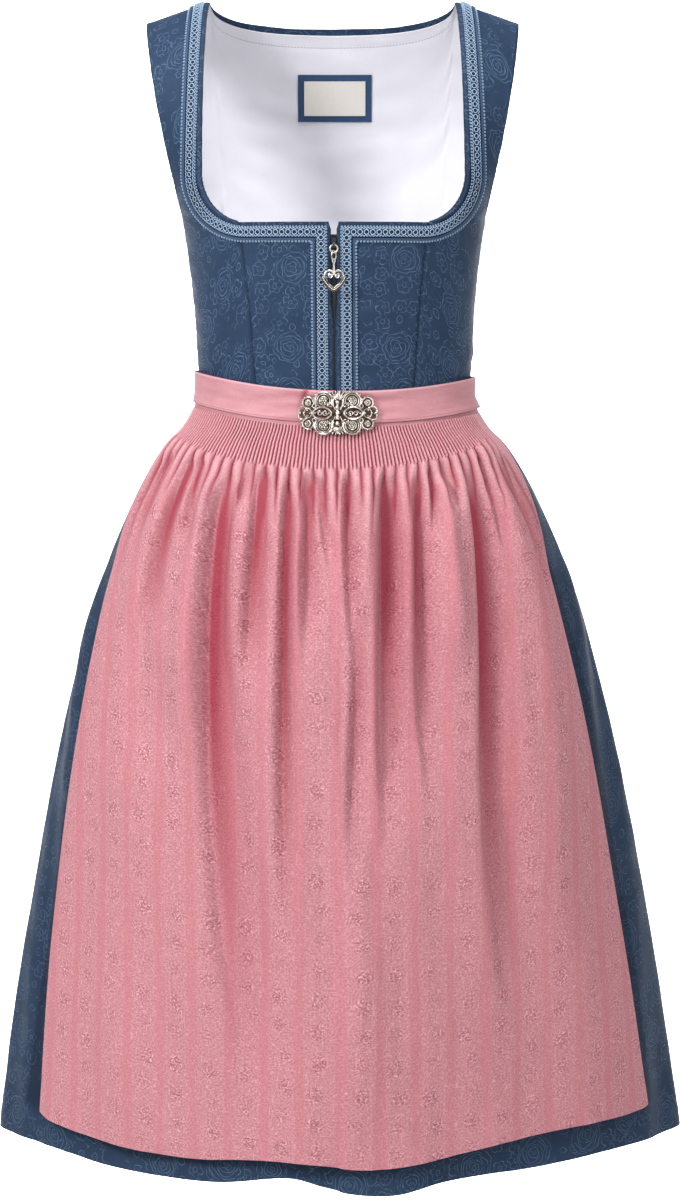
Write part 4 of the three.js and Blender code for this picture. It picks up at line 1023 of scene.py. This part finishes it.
def build_braid(side_name, side):
    build = Build()

    def surface_line(inset, out):
        angle, h = braid_line(inset, side)
        return offset(front_surface, angle, h, out), normals(front_surface, angle, h)

    def strip(low, high, columns, out, slot):
        """A flat band between two insets, slightly crowned."""
        insets = np.linspace(low, high, columns)
        crown = 1 - ((insets - insets.mean()) / (high - low) * 2) ** 4
        heights = LAYER + (out - LAYER) * (0.6 + 0.4 * crown)
        outer = np.stack([surface_line(w, height)[0][::2] for w, height in zip(insets, heights)], 1)
        inner = np.stack([surface_line(w, LAYER)[0][::2] for w in insets], 1)
        uv = np.stack(np.broadcast_arrays(insets[None], -run_along(outer[:, 0])[:, None]), -1)
        build.shell(outer, inner, uv, slot=slot)

    def rings(inset, gap, radius, wire, out, shape=(14, 6), squash=1.0):
        line, normal = surface_line(inset, out)
        place, along, across, outward = spaced(line, normal, gap)
        build.stamp(torus(radius, wire, *shape), place, along * squash, across, outward, 1)

    def wave(inset, gap, swing, wire, out, phase):
        line, normal = surface_line(inset, out)
        place, _, across, outward = spaced(line, normal, gap / 8)
        turn = np.arange(len(place)) / 8 * 2 * math.pi + phase
        place = place + across * (swing * np.sin(turn))[:, None]
        place = place + outward * (0.25 * np.cos(2 * turn))[:, None]
        build.tube(place, wire, outward, 5, slot=1)

    top = LAYER + TRIM
    strip(BRAID_INSET, BRAID_INSET + 10, 7, top - 0.3, 0)
    strip(BRAID_INSET + 10.6, BRAID_INSET + BRAID_WIDTH - 0.8, 4, top - 0.5, 2)
    rings(BRAID_INSET + 5, 5.9, 2.2, 0.42, top)
    for inset, phase in ((1.7, 0), (8.3, math.pi)):
        wave(BRAID_INSET + inset, 2.95, 0.75, 0.36, top - 0.1, phase)
    rings(BRAID_INSET + 0.2, 2.95, 0.7, 0.3, top - 0.5, (8, 4))
    rings(BRAID_INSET + BRAID_WIDTH - 0.4, 3.2, 0.75, 0.3, top - 0.8, (8, 4))
    finish_piece(build, f"braid_{side_name}", [BRAID_NET, BRAID_CORD, BRAID_TAPE])


for side_name, side in SIDES:
    build_braid(side_name, side)


# Zip

def build_zip():
    chain_out = -(CLOTH + LAYER)
    tape_out = chain_out - TRIM - LAYER
    rows, columns = np.linspace(ZIP_TOP, float(waist(0)), 60), np.linspace(-TAPE_HALF, TAPE_HALF, 13)
    z, x = grid(rows, columns)
    angle, h = place_at(x + lean(z), z)
    flat, inner = (offset(front_surface, angle, h, tape_out - depth) for depth in (0, 0.8))
    cloth(
        "zip_tape", [ZIP_BLACK], "zip", flat, "stretched", ["bodice_front_center_left"],
        (flat, inner, np.stack([x, z], -1)))
    teeth = Build()
    pitch = 1.5
    z = np.arange(CHAIN_TOP, float(waist(0)) + 1, -pitch)
    for half, shift in ((-1, 0), (1, pitch / 2)):
        angle, h = place_at(half * 0.75 + lean(z), z - shift * 0.9)
        place, out = offset(front_surface, angle, h, chain_out - 0.6), normals(front_surface, angle, h)
        teeth.stamp(BOX, place, [1, 0, 0], out, np.cross([1, 0, 0], out), 0, (2.3, 1.1, 0.75))
        angle, h = place_at(half * 1.7 + lean(z), z)
        line = offset(front_surface, angle, h, chain_out - 0.65)
        teeth.tube(line, 0.45, normals(front_surface, angle, h), 6)
    finish_piece(teeth, "zip_chain", [ZIP_BLACK], sharp=30)


build_zip()


# Skirt

def front_skirt(angle, up):
    z = mix(waist(angle) - GAP, SKIRT_HEM(angle / RAD)[0], -up)
    wave = 5 * np.cos((angle / RAD - 12) / 39 * 2 * math.pi) * smooth(-760, -1080, z)
    out = (wave - 2 * smooth(-400, -480, z)) * frontness(angle)
    return off_body(angle, z, out) + np.array([0, -SEAM_GAP / 2, 0])


def back_fold(from_side):
    """The back's uneven soft folds: 1 on a ridge and -1 in a trough."""
    shifted = from_side + 0.05 * np.sin(3 * from_side + 0.7) + 0.025 * np.sin(7 * from_side)
    return np.cos(2 * BACK_FOLDS * shifted)


def back_skirt(angle, up):
    from_side = angle - math.pi / 2
    middle = np.sin(from_side)
    z = mix(waist(angle) - GAP, BACK_HEM_Z + BACK_HEM_RISE * (1 - middle), -up)
    depth = BACK_FOLD_DEPTH * smooth(-400, -1000, z) * smooth(0, 0.35, middle)
    return off_body(angle, z, back_fold(from_side) * depth) + np.array([0, SEAM_GAP / 2, 0])


def hem_step(outer, height=HEM_FOLD):
    """A doubled hem: a slight step and a pulled line of stitches."""
    above = run_along(outer[::-1])[::-1]
    return 0.35 * smooth(height + 1.5, height - 1.5, above) + seam_dip(above - height, 0.45, 1.3)


def apron_reach(side, z):
    """How far round the apron reaches at a height, to the left where side is below 0."""
    left, right, _ = APRON_SIDE(z)
    return np.where(side < 0, left, right) * RAD


def build_skirt_front():
    up, angle = grid(-np.linspace(0, 1, 150) ** 0.9, np.linspace(-90, 90, 220) * RAD)
    flat = front_skirt(angle, up)
    uv = cloth_uv(flat, 0.5, (10, 300))
    turn = np.abs(angle / RAD)
    calm = np.minimum(1, (90 - turn) / 6)
    side_folds = 2.2 * smooth(48, 66, turn) * calm * smooth(-0.03, -0.25, up)
    out = side_folds * uneven(uv, 51, 60, 520) + 0.5 * calm * uneven(uv, 52, 70, 60)
    out = np.minimum(out, mix(3.0, 0.2, smooth(66, 60, turn))) + hem_step(flat)
    # Painted shadow below the apron's hem and beside its side edges, and painted shade on the skirt's sides
    below = APRON_HEM(angle / RAD)[0] - flat[..., 2]
    beside = turn - apron_reach(angle, flat[..., 2]) / RAD
    hollow = np.where(turn < 70, 0.6 * np.exp(-np.maximum(below, 0) / 11), 0)
    hollow = np.maximum(hollow, np.where(below < 0, 0.35 * np.exp(-np.maximum(beside, 0) / 1.6), 0))
    side_shade = SKIRT_SHADE * smooth(54, 68, turn) * (1 - smooth(78, 90, turn)) * smooth(0, -0.12, up)
    outer, inner = (offset(front_skirt, angle, up, out - depth, 0.01, 0.002) for depth in (0, CLOTH))
    cloth(
        "skirt_front", [JACQUARD, REVERSE], "jacquard", flat, "hung", ["bodice_back"],
        (outer, inner, uv, np.maximum(hollow, side_shade)))


def build_skirt_back():
    up, angle = grid(-np.linspace(0, 1, 90) ** 1.3, np.linspace(90, 270, 421) * RAD)
    flat = back_skirt(angle, up)
    turn = (angle - math.pi / 2) / math.pi
    calm = smooth(0, 0.03, np.minimum(turn, 1 - turn))
    shifted = turn + 0.004 * np.sin(turn * 40) + 0.003 * np.sin(turn * 91)
    gather = 0.5 - 0.5 * np.cos(2 * math.pi * BACK_GATHERS * shifted)
    gathered = smooth(0.0, 0.03, -up) * (1 - smooth(0.05, 0.34, -up)) * calm
    out = 2.4 * gather * gathered
    # Painted shade in the gathers' valleys and in the folds' troughs
    trough = (0.5 - 0.5 * back_fold(angle - math.pi / 2)) ** 2 * smooth(0.12, 0.6, -up)
    hollow = calm * np.maximum(0.6 * (1 - gather) ** 1.5 * gathered, 0.42 * trough)
    uv = cloth_uv(flat, 0.5, (500, 300))
    out = out + calm * (1.4 * uneven(uv, 61, 46, 420) * smooth(0.05, 0.3, -up)) + hem_step(flat)
    outer, inner = (offset(back_skirt, angle, up, out - depth, 0.004, 0.002) for depth in (0, CLOTH))
    cloth(
        "skirt_back", [JACQUARD, REVERSE], "jacquard", flat, "gathered", ["bodice_back"],
        (outer, inner, uv, hollow))


build_skirt_front()
build_skirt_back()


# Apron

def creases(angle, z):
    """How deep the creases lie, in mm, and how much shade is painted in their narrow beds, up to about 1."""
    turn = angle / RAD
    relief, shade = 0, 0
    for start, middle, end, top, bottom, depth, left, right in CREASES:
        t = np.clip((z - top) / (bottom - top), 0, 1)
        centre = mix(mix(start, middle, t), mix(middle, end, t), t)
        rise = smooth(0, 0.1 if top > -500 else 0.45, t)
        fade = rise * (1 - smooth(0.6, 1, t))
        width = np.where(turn < centre, left, right) * (1 + 0.5 * t)
        away = (turn - centre) / width
        relief = relief + CREASE_STRENGTH * depth * fade * bump(away, 1)
        if depth > 0 and left < BROAD_CREASE:
            bed_shade = 0.8 * bump(away, 0.5) + 0.5 * bump(away, 1)
            shade = shade + min(1, depth / 9) * rise * (1 - smooth(0.15, 0.95, t)) * bed_shade
    return relief, shade


def even_angles(count):
    """Angles that part the foot of the smocking into equal lengths."""
    reach = APRON_SIDE(SMOCK_SIDE_Z)[0] * RAD
    dense = np.linspace(-reach, reach, 2001)
    line = off_body(dense, smock_bottom(dense), APRON_REST + CLOTH)
    run = run_along(line)
    return np.interp(np.linspace(0, run[-1], count), run, dense) / reach


def build_apron():
    columns = SMOCK_PLEATS * 8 + 1
    smock_rows, low_rows = 14, 76
    u = even_angles(columns)[None]
    pleat = (np.arange(columns) / 8)[None]
    top_reach = APRON_SIDE(TIE_TOP)[0] * RAD
    part = np.linspace(0, 1, smock_rows)[:, None]
    angle_top = u * top_reach + 0 * part
    z_top = mix(band_bottom(angle_top) - GAP, smock_bottom(angle_top), part)
    v = np.linspace(0, 1, low_rows)[:, None] ** 1.4
    u_low, pleat_low = u[:, ::2], pleat[:, ::2]
    rough = mix(smock_bottom(0), float(APRON_HEM(8)[0]), v)
    angle_low = u_low * apron_reach(u_low, rough)
    z_low = mix(smock_bottom(angle_low), APRON_HEM(angle_low / RAD)[0], v)

    def face(u, angle, z, pleat, hem):
        """Outer and inner points of a stretch of the apron, its cloth coordinates and its painted shade."""
        lift = APRON_SIDE(z)[2]
        edge = 1 - np.abs(u) ** 6
        down = smock_bottom(angle) - z
        free = off_body(angle, z, APRON_REST + CLOTH)
        uv = cloth_uv(free)
        span = smooth(-0.93, -0.9, u) * (1 - smooth(0.84, 0.87, u))
        wander = 0.3 * ripple(pleat, down, 71, 22, 26)
        ridge = np.abs(np.cos(math.pi * (pleat + 0.25 * wander * smooth(0, -12, down)))) ** 0.7
        gather = np.abs(np.cos(math.pi * (pleat / PLEATS_IN_GATHER + 0.15 * wander))) ** 0.55
        uneven_pleats = ripple(pleat, 0, 75, 13, 1)
        gathers = (4.0 + 1.4 * uneven_pleats) * gather * (1 - smooth(4, 62 + 30 * uneven_pleats, down))
        pleated = span * mix(SMOCK_RAISE * ridge, gathers, smooth(-3, 3, down))
        loose = smooth(0, 70, down) * np.minimum(1, (1 - np.abs(u)) / 0.05)
        relief = loose * (1.9 * ripple(pleat, down, 73, 11, 300) + 0.35 * ripple(pleat, down, 74, 5, 50))
        crease, bed_shade = creases(angle, z)
        relief = relief - crease * edge * smooth(-6, 20, down)
        room = APRON_REST + np.maximum(0, lift - APRON_REST) * edge
        relief = room + pleated + relief + (hem_step(free, APRON_HEM_FOLD) if hem else 0)
        out = np.maximum(relief, 0.6) + 0.3 * bump(1 - np.abs(u), 0.02)
        # Painted shade in the smocking's valleys, between the gathers and in the creases' beds
        hollow = 1.3 * span * (1 - ridge) ** 1.1 * smooth(3, -3, down)
        hollow = hollow + span * (1 - gather) * smooth(-3, 3, down) * (1 - smooth(10, 60, down))
        hollow = np.clip(hollow * 1.5 + 0.9 * bed_shade * smooth(-6, 20, down), 0, 1)
        inner = np.maximum(np.where(down < 0, np.minimum(out, room), out), 0.5)
        return off_body(angle, z, out + CLOTH), off_body(angle, z, inner), uv, hollow

    top, low = face(u, angle_top, z_top, pleat, False), face(u_low, angle_low, z_low, pleat_low, True)
    # Only every other column goes on below the smocking, so the rest end midway between their neighbours
    for side in top[:2]:
        side[-1, 1::2] = (side[-1, :-2:2] + side[-1, 2::2]) / 2
    low[2][..., 1] += top[2][-1, 0, 1]
    flat_top, flat_low = off_body(angle_top, z_top, APRON_REST), off_body(angle_low, z_low, APRON_REST + 8)
    flat = np.concatenate([flat_top[:-1, ::2], flat_low])
    under = ["apron_waistband", "skirt_front"]
    cloth("apron_panel", [APRON_CLOTH], "apron_cloth", flat, "gathered", under, top, low)


def build_band():
    reach = BAND_REACH * RAD
    r, angle = grid(np.linspace(0, 1, 10), np.linspace(-reach, reach, 200))
    z = mix(tie_top(angle) - BAND_TUCK, band_bottom(angle), r)
    flat = off_body(angle, z, BAND_OUT + TRIM)
    uv = cloth_uv(flat)
    roll = -0.5 * smooth(0.93, 1, r) + 0.12 * uneven(uv, 81, 30, 30)
    cloth(
        "apron_waistband", [PLAIN_PINK], "apron_band", flat, "stretched", ["skirt_front"],
        (off_body(angle, z, BAND_OUT + TRIM + roll), off_body(angle, z, BAND_OUT), uv))


def tie(angle, z):
    behind = smooth(0.1, -0.2, np.cos(angle))
    return off_body(angle, z, mix(TIE_OUT, TIE_OUT_BACK, behind) + TRIM)


def build_tie():
    ends = CLASP["x"] * 0.005
    first, last = ends + 0.004, 2 * math.pi + ends - 0.004
    r, angle = grid(np.linspace(0, 1, 22), np.linspace(first, last, 620))
    z = mix(tie_top(angle), tie_top(angle) - TIE_HEIGHT, r)
    flat = tie(angle, z)
    uv = cloth_uv(flat)
    signed = np.where(angle > math.pi, angle - 2 * math.pi, angle)
    x = flat[..., 0] - CLASP["x"]
    in_front = np.abs(signed) < 1.2
    near = np.exp(-((np.abs(x) / 52) ** 4)) * in_front
    out = 0.35 * uneven(uv, 91, 70, 26)
    lines = np.sin(r * math.pi * 5 + 0.5 + 0.9 * np.sin(x / 9))
    out = out + 0.75 * near * lines
    fold = bump(x + 31 + 12 * (r - 0.2), 2.6) * smooth(0.7, 0.1, r) * in_front
    out = out - 1.5 * fold
    # Painted shade in the tuck by the clasp and in the troughs of the wrinkles
    hollow = np.clip(0.95 * fold + 0.35 * near * (0.5 - 0.5 * lines), 0, 1)
    out = np.clip(out, -1.5, 1.6) - 0.35 * (smooth(0.04, 0, r) + smooth(0.96, 1, r))
    walls = (out, np.minimum(out, 0) * 0.3 - TRIM)
    outer, inner = (offset(tie, angle, z, place, 0.01, 1) for place in walls)
    cloth(
        "apron_tie", [PLAIN_PINK], "apron_band", flat, "stretched", ["apron_waistband"],
        (outer, inner, uv, hollow))


build_apron()
build_band()
build_tie()


# Clasp

def clasp_place(local):
    """Points given as x, depth in front of the plate's middle and z, bent to the waist as the solid is."""
    x, depth, z = local[..., 0], local[..., 1], local[..., 2]
    angle, _ = place_at(x + lean(CLASP["z"]), np.full_like(x, CLASP["z"]))
    out = -body(angle, np.full_like(x, CLASP["top"]))[..., 1]
    out = out + TIE_OUT + TRIM + GAP + CLASP["thick"] / 2 + CLASP["off"]
    slope = CLASP["tilt"] * (CLASP["top"] - CLASP["z"] - z)
    return points(x + CLASP["x"], -out - slope - depth, z + CLASP["z"])


def arc(x, z, radius_x, radius_z, start, end, count=16):
    """Part of an ellipse in the clasp's plane, from one angle in degrees to another."""
    t = np.linspace(start, end, count) * RAD
    return np.stack([x + radius_x * np.cos(t), z + radius_z * np.sin(t)], -1)


def curl(x, z, radius, start, turns, count=26, shrink=0.3):
    """A spiral that winds in towards its middle."""
    t = np.linspace(0, 1, count)
    angle = start * RAD + t * turns * 2 * math.pi
    r = radius * mix(1, shrink, t)
    return np.stack([x + r * np.cos(angle), z + r * np.sin(angle)], -1)


def build_clasp(side_name, side):
    build = Build()
    top = CLASP["thick"] / 2

    def wire(path, radius=0.62, depth=top + 0.25, lift=0.0):
        path = np.asarray(path, float)
        rise = depth + lift * np.sin(np.linspace(0, math.pi, len(path)))
        line = clasp_place(points(side * path[:, 0], rise, path[:, 1]))
        build.tube(line, radius, FORWARD, 7, slot=0)

    def beads(spots, radius, depth=top + 0.4):
        spots = np.atleast_2d(spots)
        place = clasp_place(points(side * spots[:, 0], np.full(len(spots), depth), spots[:, 1]))
        build.balls(radius, place)

    def rosette(x, z, radius, petals=6):
        beads(arc(x, z, radius, radius, 0, 360 - 360 / petals, petals), radius * 0.5)
        beads([x, z], radius * 0.42, top + 0.9)
        wire(arc(x, z, radius * 1.75, radius * 1.75, 0, 360, 26), 0.5, top + 0.1)

    for up in (1, -1):
        flip = np.array([1, up])
        wire(arc(13.2, 11.3, 7.9, 8.0, -40, 205, 34) * flip, 0.75, lift=0.3)
        wire(arc(13.2, 11.3, 6.1, 6.2, -60, 220, 30) * flip, 0.4)
        wire(arc(27.4, 9.6, 5.0, 5.0, -80, 190, 26) * flip, 0.65)
        wire(arc(33.2, 2.4, 3.0, 3.4, -70, 100, 14) * flip, 0.6)
        rosette(13.2, 11.2 * up, 2.2)
        rosette(27.4, 9.6 * up, 1.35, 5)
        wire(curl(21.4, 6.2 * up, 2.6, 120 * up, -0.9 * up), 0.5)
        wire(curl(6.9, 7.2 * up, 2.9, -20 * up, 0.95 * up), 0.55)
        wire(np.array([(2.2, 3), (4.2, 7), (4.6, 11), (3.2, 14.5)]) * flip, 0.6, lift=0.4)
        for lean_x, tall in ((1.4, 19.2), (4.2, 18.6), (6.4, 17.0)):
            t = np.linspace(0, 1, 9)
            fan = np.stack([0.6 + lean_x * t ** 1.4, mix(10.5, tall, t)], -1) * flip
            wire(fan, 0.62 + 0.1 * np.sin(t * math.pi), top + 0.6, 0.5)
            beads(fan[-1], 0.85, top + 0.6)
        t = np.linspace(0, math.pi, 26)
        lens = np.stack([14.5 - 8.6 * np.cos(t), 5.6 * np.maximum(0, np.sin(t)) ** 1.3], -1)
        wire(lens * flip, 0.85, top + 0.35, 0.3)
        beads(arc(13.2, 11.3, 9.3, 8.9, 15, 195, 9) * flip, 0.62, top)
        beads(arc(27.4, 9.6, 6.0, 5.9, -70, 150, 8) * flip, 0.55, top)
    wire(curl(11.8, 0.3, 2.6, 200, 1.2), 0.55)
    wire(curl(17.0, -0.3, 2.6, 20, 1.2), 0.55)
    beads([(14.4, 0), (8.0, 0), (20.9, 0)], 0.95)
    beads([(25.4, 0), (28.2, 2.6), (28.2, -2.6), (31.4, 0), (34.6, 0), (36.0, 2.3), (36.0, -2.3)], 0.95)
    wire(arc(27.6, 0, 3.6, 4.2, 0, 360, 26), 0.5)
    if side < 0:
        z = np.linspace(-17.5, 17.5, 90)
        swell = 1.25 + 0.85 * np.abs(np.cos(z / 17.5 * 3.5 * math.pi)) * (1 - 0.25 * np.abs(z) / 17.5)
        build.tube(clasp_place(points(side * 0.3 + 0 * z, top + 1.0, z)), swell, FORWARD, 12, slot=0)
        beads([-0.3, 0], 2.35, top + 1.1)
        beads([(-0.3, 18), (-0.3, -18)], 1.3, top + 1.0)
    made = build.object(f"clasp_filigree_{side_name}", [SILVER_BRIGHT])


for side_name, side in SIDES:
    build_clasp(side_name, side)


# Zip pull and pendant

PULL_X = lean(PULL["z"])
LINK_Z = PULL["z"] - 2 * PULL["ring"] + 2 * PULL["wire"] + GAP - PULL["tall"]
PIVOT_Z = LINK_Z - PULL["tall"]


def loop(build, half, tall, z, turn, wire, sides, count):
    """An upright oval wire round the pull's middle, turned about the vertical."""
    t = np.linspace(0, 2 * math.pi, count, endpoint=False)
    x = half * np.sin(t)
    line = points(PULL_X + x * math.cos(turn), PULL["y"] + x * math.sin(turn), z + tall * np.cos(t))
    build.tube(line, wire, [math.sin(turn), -math.cos(turn), 0], sides, True)


def build_pull():
    ring, link = Build(), Build()
    loop(ring, PULL["ring"], PULL["ring"], PULL["z"] - PULL["ring"], 0, PULL["wire"], 12, 48)
    loop(link, PULL["half"], PULL["tall"], LINK_Z, PULL["twist"], PULL["link_wire"], 12, 48)
    finish_piece(ring, "pull_ring", [SILVER_BRIGHT], "pull_links", 40)
    finish_piece(link, "pull_link", [SILVER_BRIGHT], "pull_links", 40)


def bezier(a, b, c, d, count=14):
    t = np.linspace(0, 1, count)[:-1, None]
    a, b, c, d = (np.array(p, float) for p in (a, b, c, d))
    return (1 - t) ** 3 * a + 3 * (1 - t) ** 2 * t * b + 3 * (1 - t) * t * t * c + t ** 3 * d


def heart_line(half, top, tip):
    """A closed heart outline, its notch at the top and its tip at the bottom."""
    right = np.concatenate([
        bezier((0, top * 0.55), (half * 0.25, top * 1.15), (half, top * 1.1), (half, top * 0.1)),
        bezier((half, top * 0.1), (half, -top * 0.5), (half * 0.35, tip * 0.6), (0, tip)),
    ])
    left = right[1:][::-1] * np.array([-1, 1])
    return np.concatenate([right, [[0, tip]], left])


def build_heart():
    build = Build()

    def at(path, depth=0.0):
        path = np.atleast_2d(path)
        return points(PULL_X + path[:, 0], PULL["y"] - depth, HEART_Z + path[:, 1])

    build.tube(at(heart_line(8.8, 7.6, -9.5)), 0.9, FORWARD, 10, True)
    for side in (-1, 1):
        band = bezier((side * 10.4, 2.6), (side * 9.8, -2.4), (side * 4.4, -8.0), (0, -10.6), 22)
        band = np.concatenate([band, [[0, -10.6]]])
        taper = 1.55 * smooth(0, 0.12, np.linspace(0, 1, len(band))) + 0.5
        build.tube(at(band, 0.1), taper, FORWARD, 12, flat=0.5, slot=2)
        build.balls(0.74, at(band[2:-1:2], 0.85), 1)
        edge = np.gradient(band, axis=0)
        normal = unit(np.stack([edge[:, 1], -edge[:, 0]], -1))
        for shift in (-1.7, 1.7):
            grains = band[1::2] + normal[1::2] * shift
            build.balls(0.42, at(grains, 0.55), cuts=1)
        swirl = curl(side * 2.75, 2.5, 2.3, 90 - side * 20, -side * 1.1, 30, 0.35)
        build.tube(at(swirl, 0.15), 0.62, FORWARD, 8)
        build.balls(0.8, at([side * 2.75, 2.5], 0.3))
    bail, bail_wire = 1.7, 0.6
    bail_z = PIVOT_Z + PULL["link_wire"] + bail_wire + GAP - bail
    loop(build, bail, bail, bail_z, PULL["twist"] - math.pi / 2, bail_wire, 10, 32)
    stem = at([(0, bail_z - 1.9 - HEART_Z), (0, 6.6), (0, 5.0), (0, 3.4)])
    build.tube(stem, np.array([0.8, 1.35, 1.0, 1.3]), FORWARD, 10)
    build.balls(1.25, at([(0, 6.4), (0, 4.0)], 0.2), cuts=3)
    finish_piece(build, "heart_pendant", [SILVER_BRIGHT, GEM, SILVER_DARK], "heart", 40)


build_pull()
build_heart()

# Solids that are drawn as the frame has them
for node, material in (
    ("zip_slider", ZIP_BLACK), ("apron_clasp_left", SILVER_DARK), ("apron_clasp_right", SILVER_DARK),
):
    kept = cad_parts[node].data.materials
    kept.clear()
    kept.append(material)


# Studio

def aim(made, target):
    made.rotation_mode = "QUATERNION"
    made.rotation_quaternion = (Vector(target) - made.location).to_track_quat("-Z", "Y")


def area_light(name, location, target, size, power_watts):
    data = bpy.data.lights.new(name, "AREA")
    data.energy, data.size = power_watts, size
    light = bpy.data.objects.new(name, data)
    light.location = location
    aim(light, target)
    bpy.context.collection.objects.link(light)


def build_studio():
    floor_z, front, wall_y, top, bend = -1.9, -9.0, 9.5, 5.0, 1.6
    t = np.linspace(0, math.pi / 2, 14)
    profile = np.concatenate([
        [(front, floor_z)],
        np.stack([wall_y - bend + bend * np.sin(t), floor_z + bend - bend * np.cos(t)], -1),
        [(wall_y, top)],
    ])
    across = np.linspace(-9, 9, 3)
    verts = points(across[None], profile[:, :1], profile[:, 1:]).reshape(-1, 3)
    faces = grid_quads(np.arange(len(verts)).reshape(len(profile), -1))
    data = bpy.data.meshes.new("studio_sweep")
    data.from_pydata(verts.tolist(), [], faces.tolist())
    data.materials.append(grained(
        "studio", srgb(240, 240, 240), srgb(246, 246, 246), 900, 1.0, 0, roughness=0.9, specular=0.1))
    data.polygons.foreach_set("use_smooth", np.ones(len(data.polygons), bool))
    sweep = bpy.data.objects.new("studio_sweep", data)
    bpy.context.collection.objects.link(sweep)
    world = bpy.data.worlds.new("studio")
    world.use_nodes = True
    background = world.node_tree.nodes["Background"].inputs
    background["Color"].default_value, background["Strength"].default_value = (1, 1, 1, 1), 0.48
    bpy.context.scene.world = world
    middle = (0, 0, -0.55)
    area_light("key", (-2.1, -2.3, 1.1), middle, 0.8, 100)
    area_light("top", (0.1, -1.0, 1.9), (0, 0, -0.6), 0.9, 40)
    area_light("fill", (1.8, -3.0, 0.4), middle, 1.8, 28)
    for side in (-1, 1):
        area_light(f"floor_{side}", (side * 2.4, 2.4, 1.0), (0, 6.5, -1.9), 1.4, 360)
        area_light(f"backdrop_{side}", (side * 2.6, 5.6, 1.6), (0, 9.5, -0.6), 1.4, 240)


build_studio()

camera_data = bpy.data.cameras.new("photo")
camera_data.sensor_width, camera_data.lens = 36, CAMERA_LENS
camera = bpy.data.objects.new("photo", camera_data)
camera.location = CAMERA_PLACE
aim(camera, CAMERA_AIM)
bpy.context.collection.objects.link(camera)
bpy.context.scene.camera = camera
bpy.context.scene.view_settings.view_transform = "Standard"
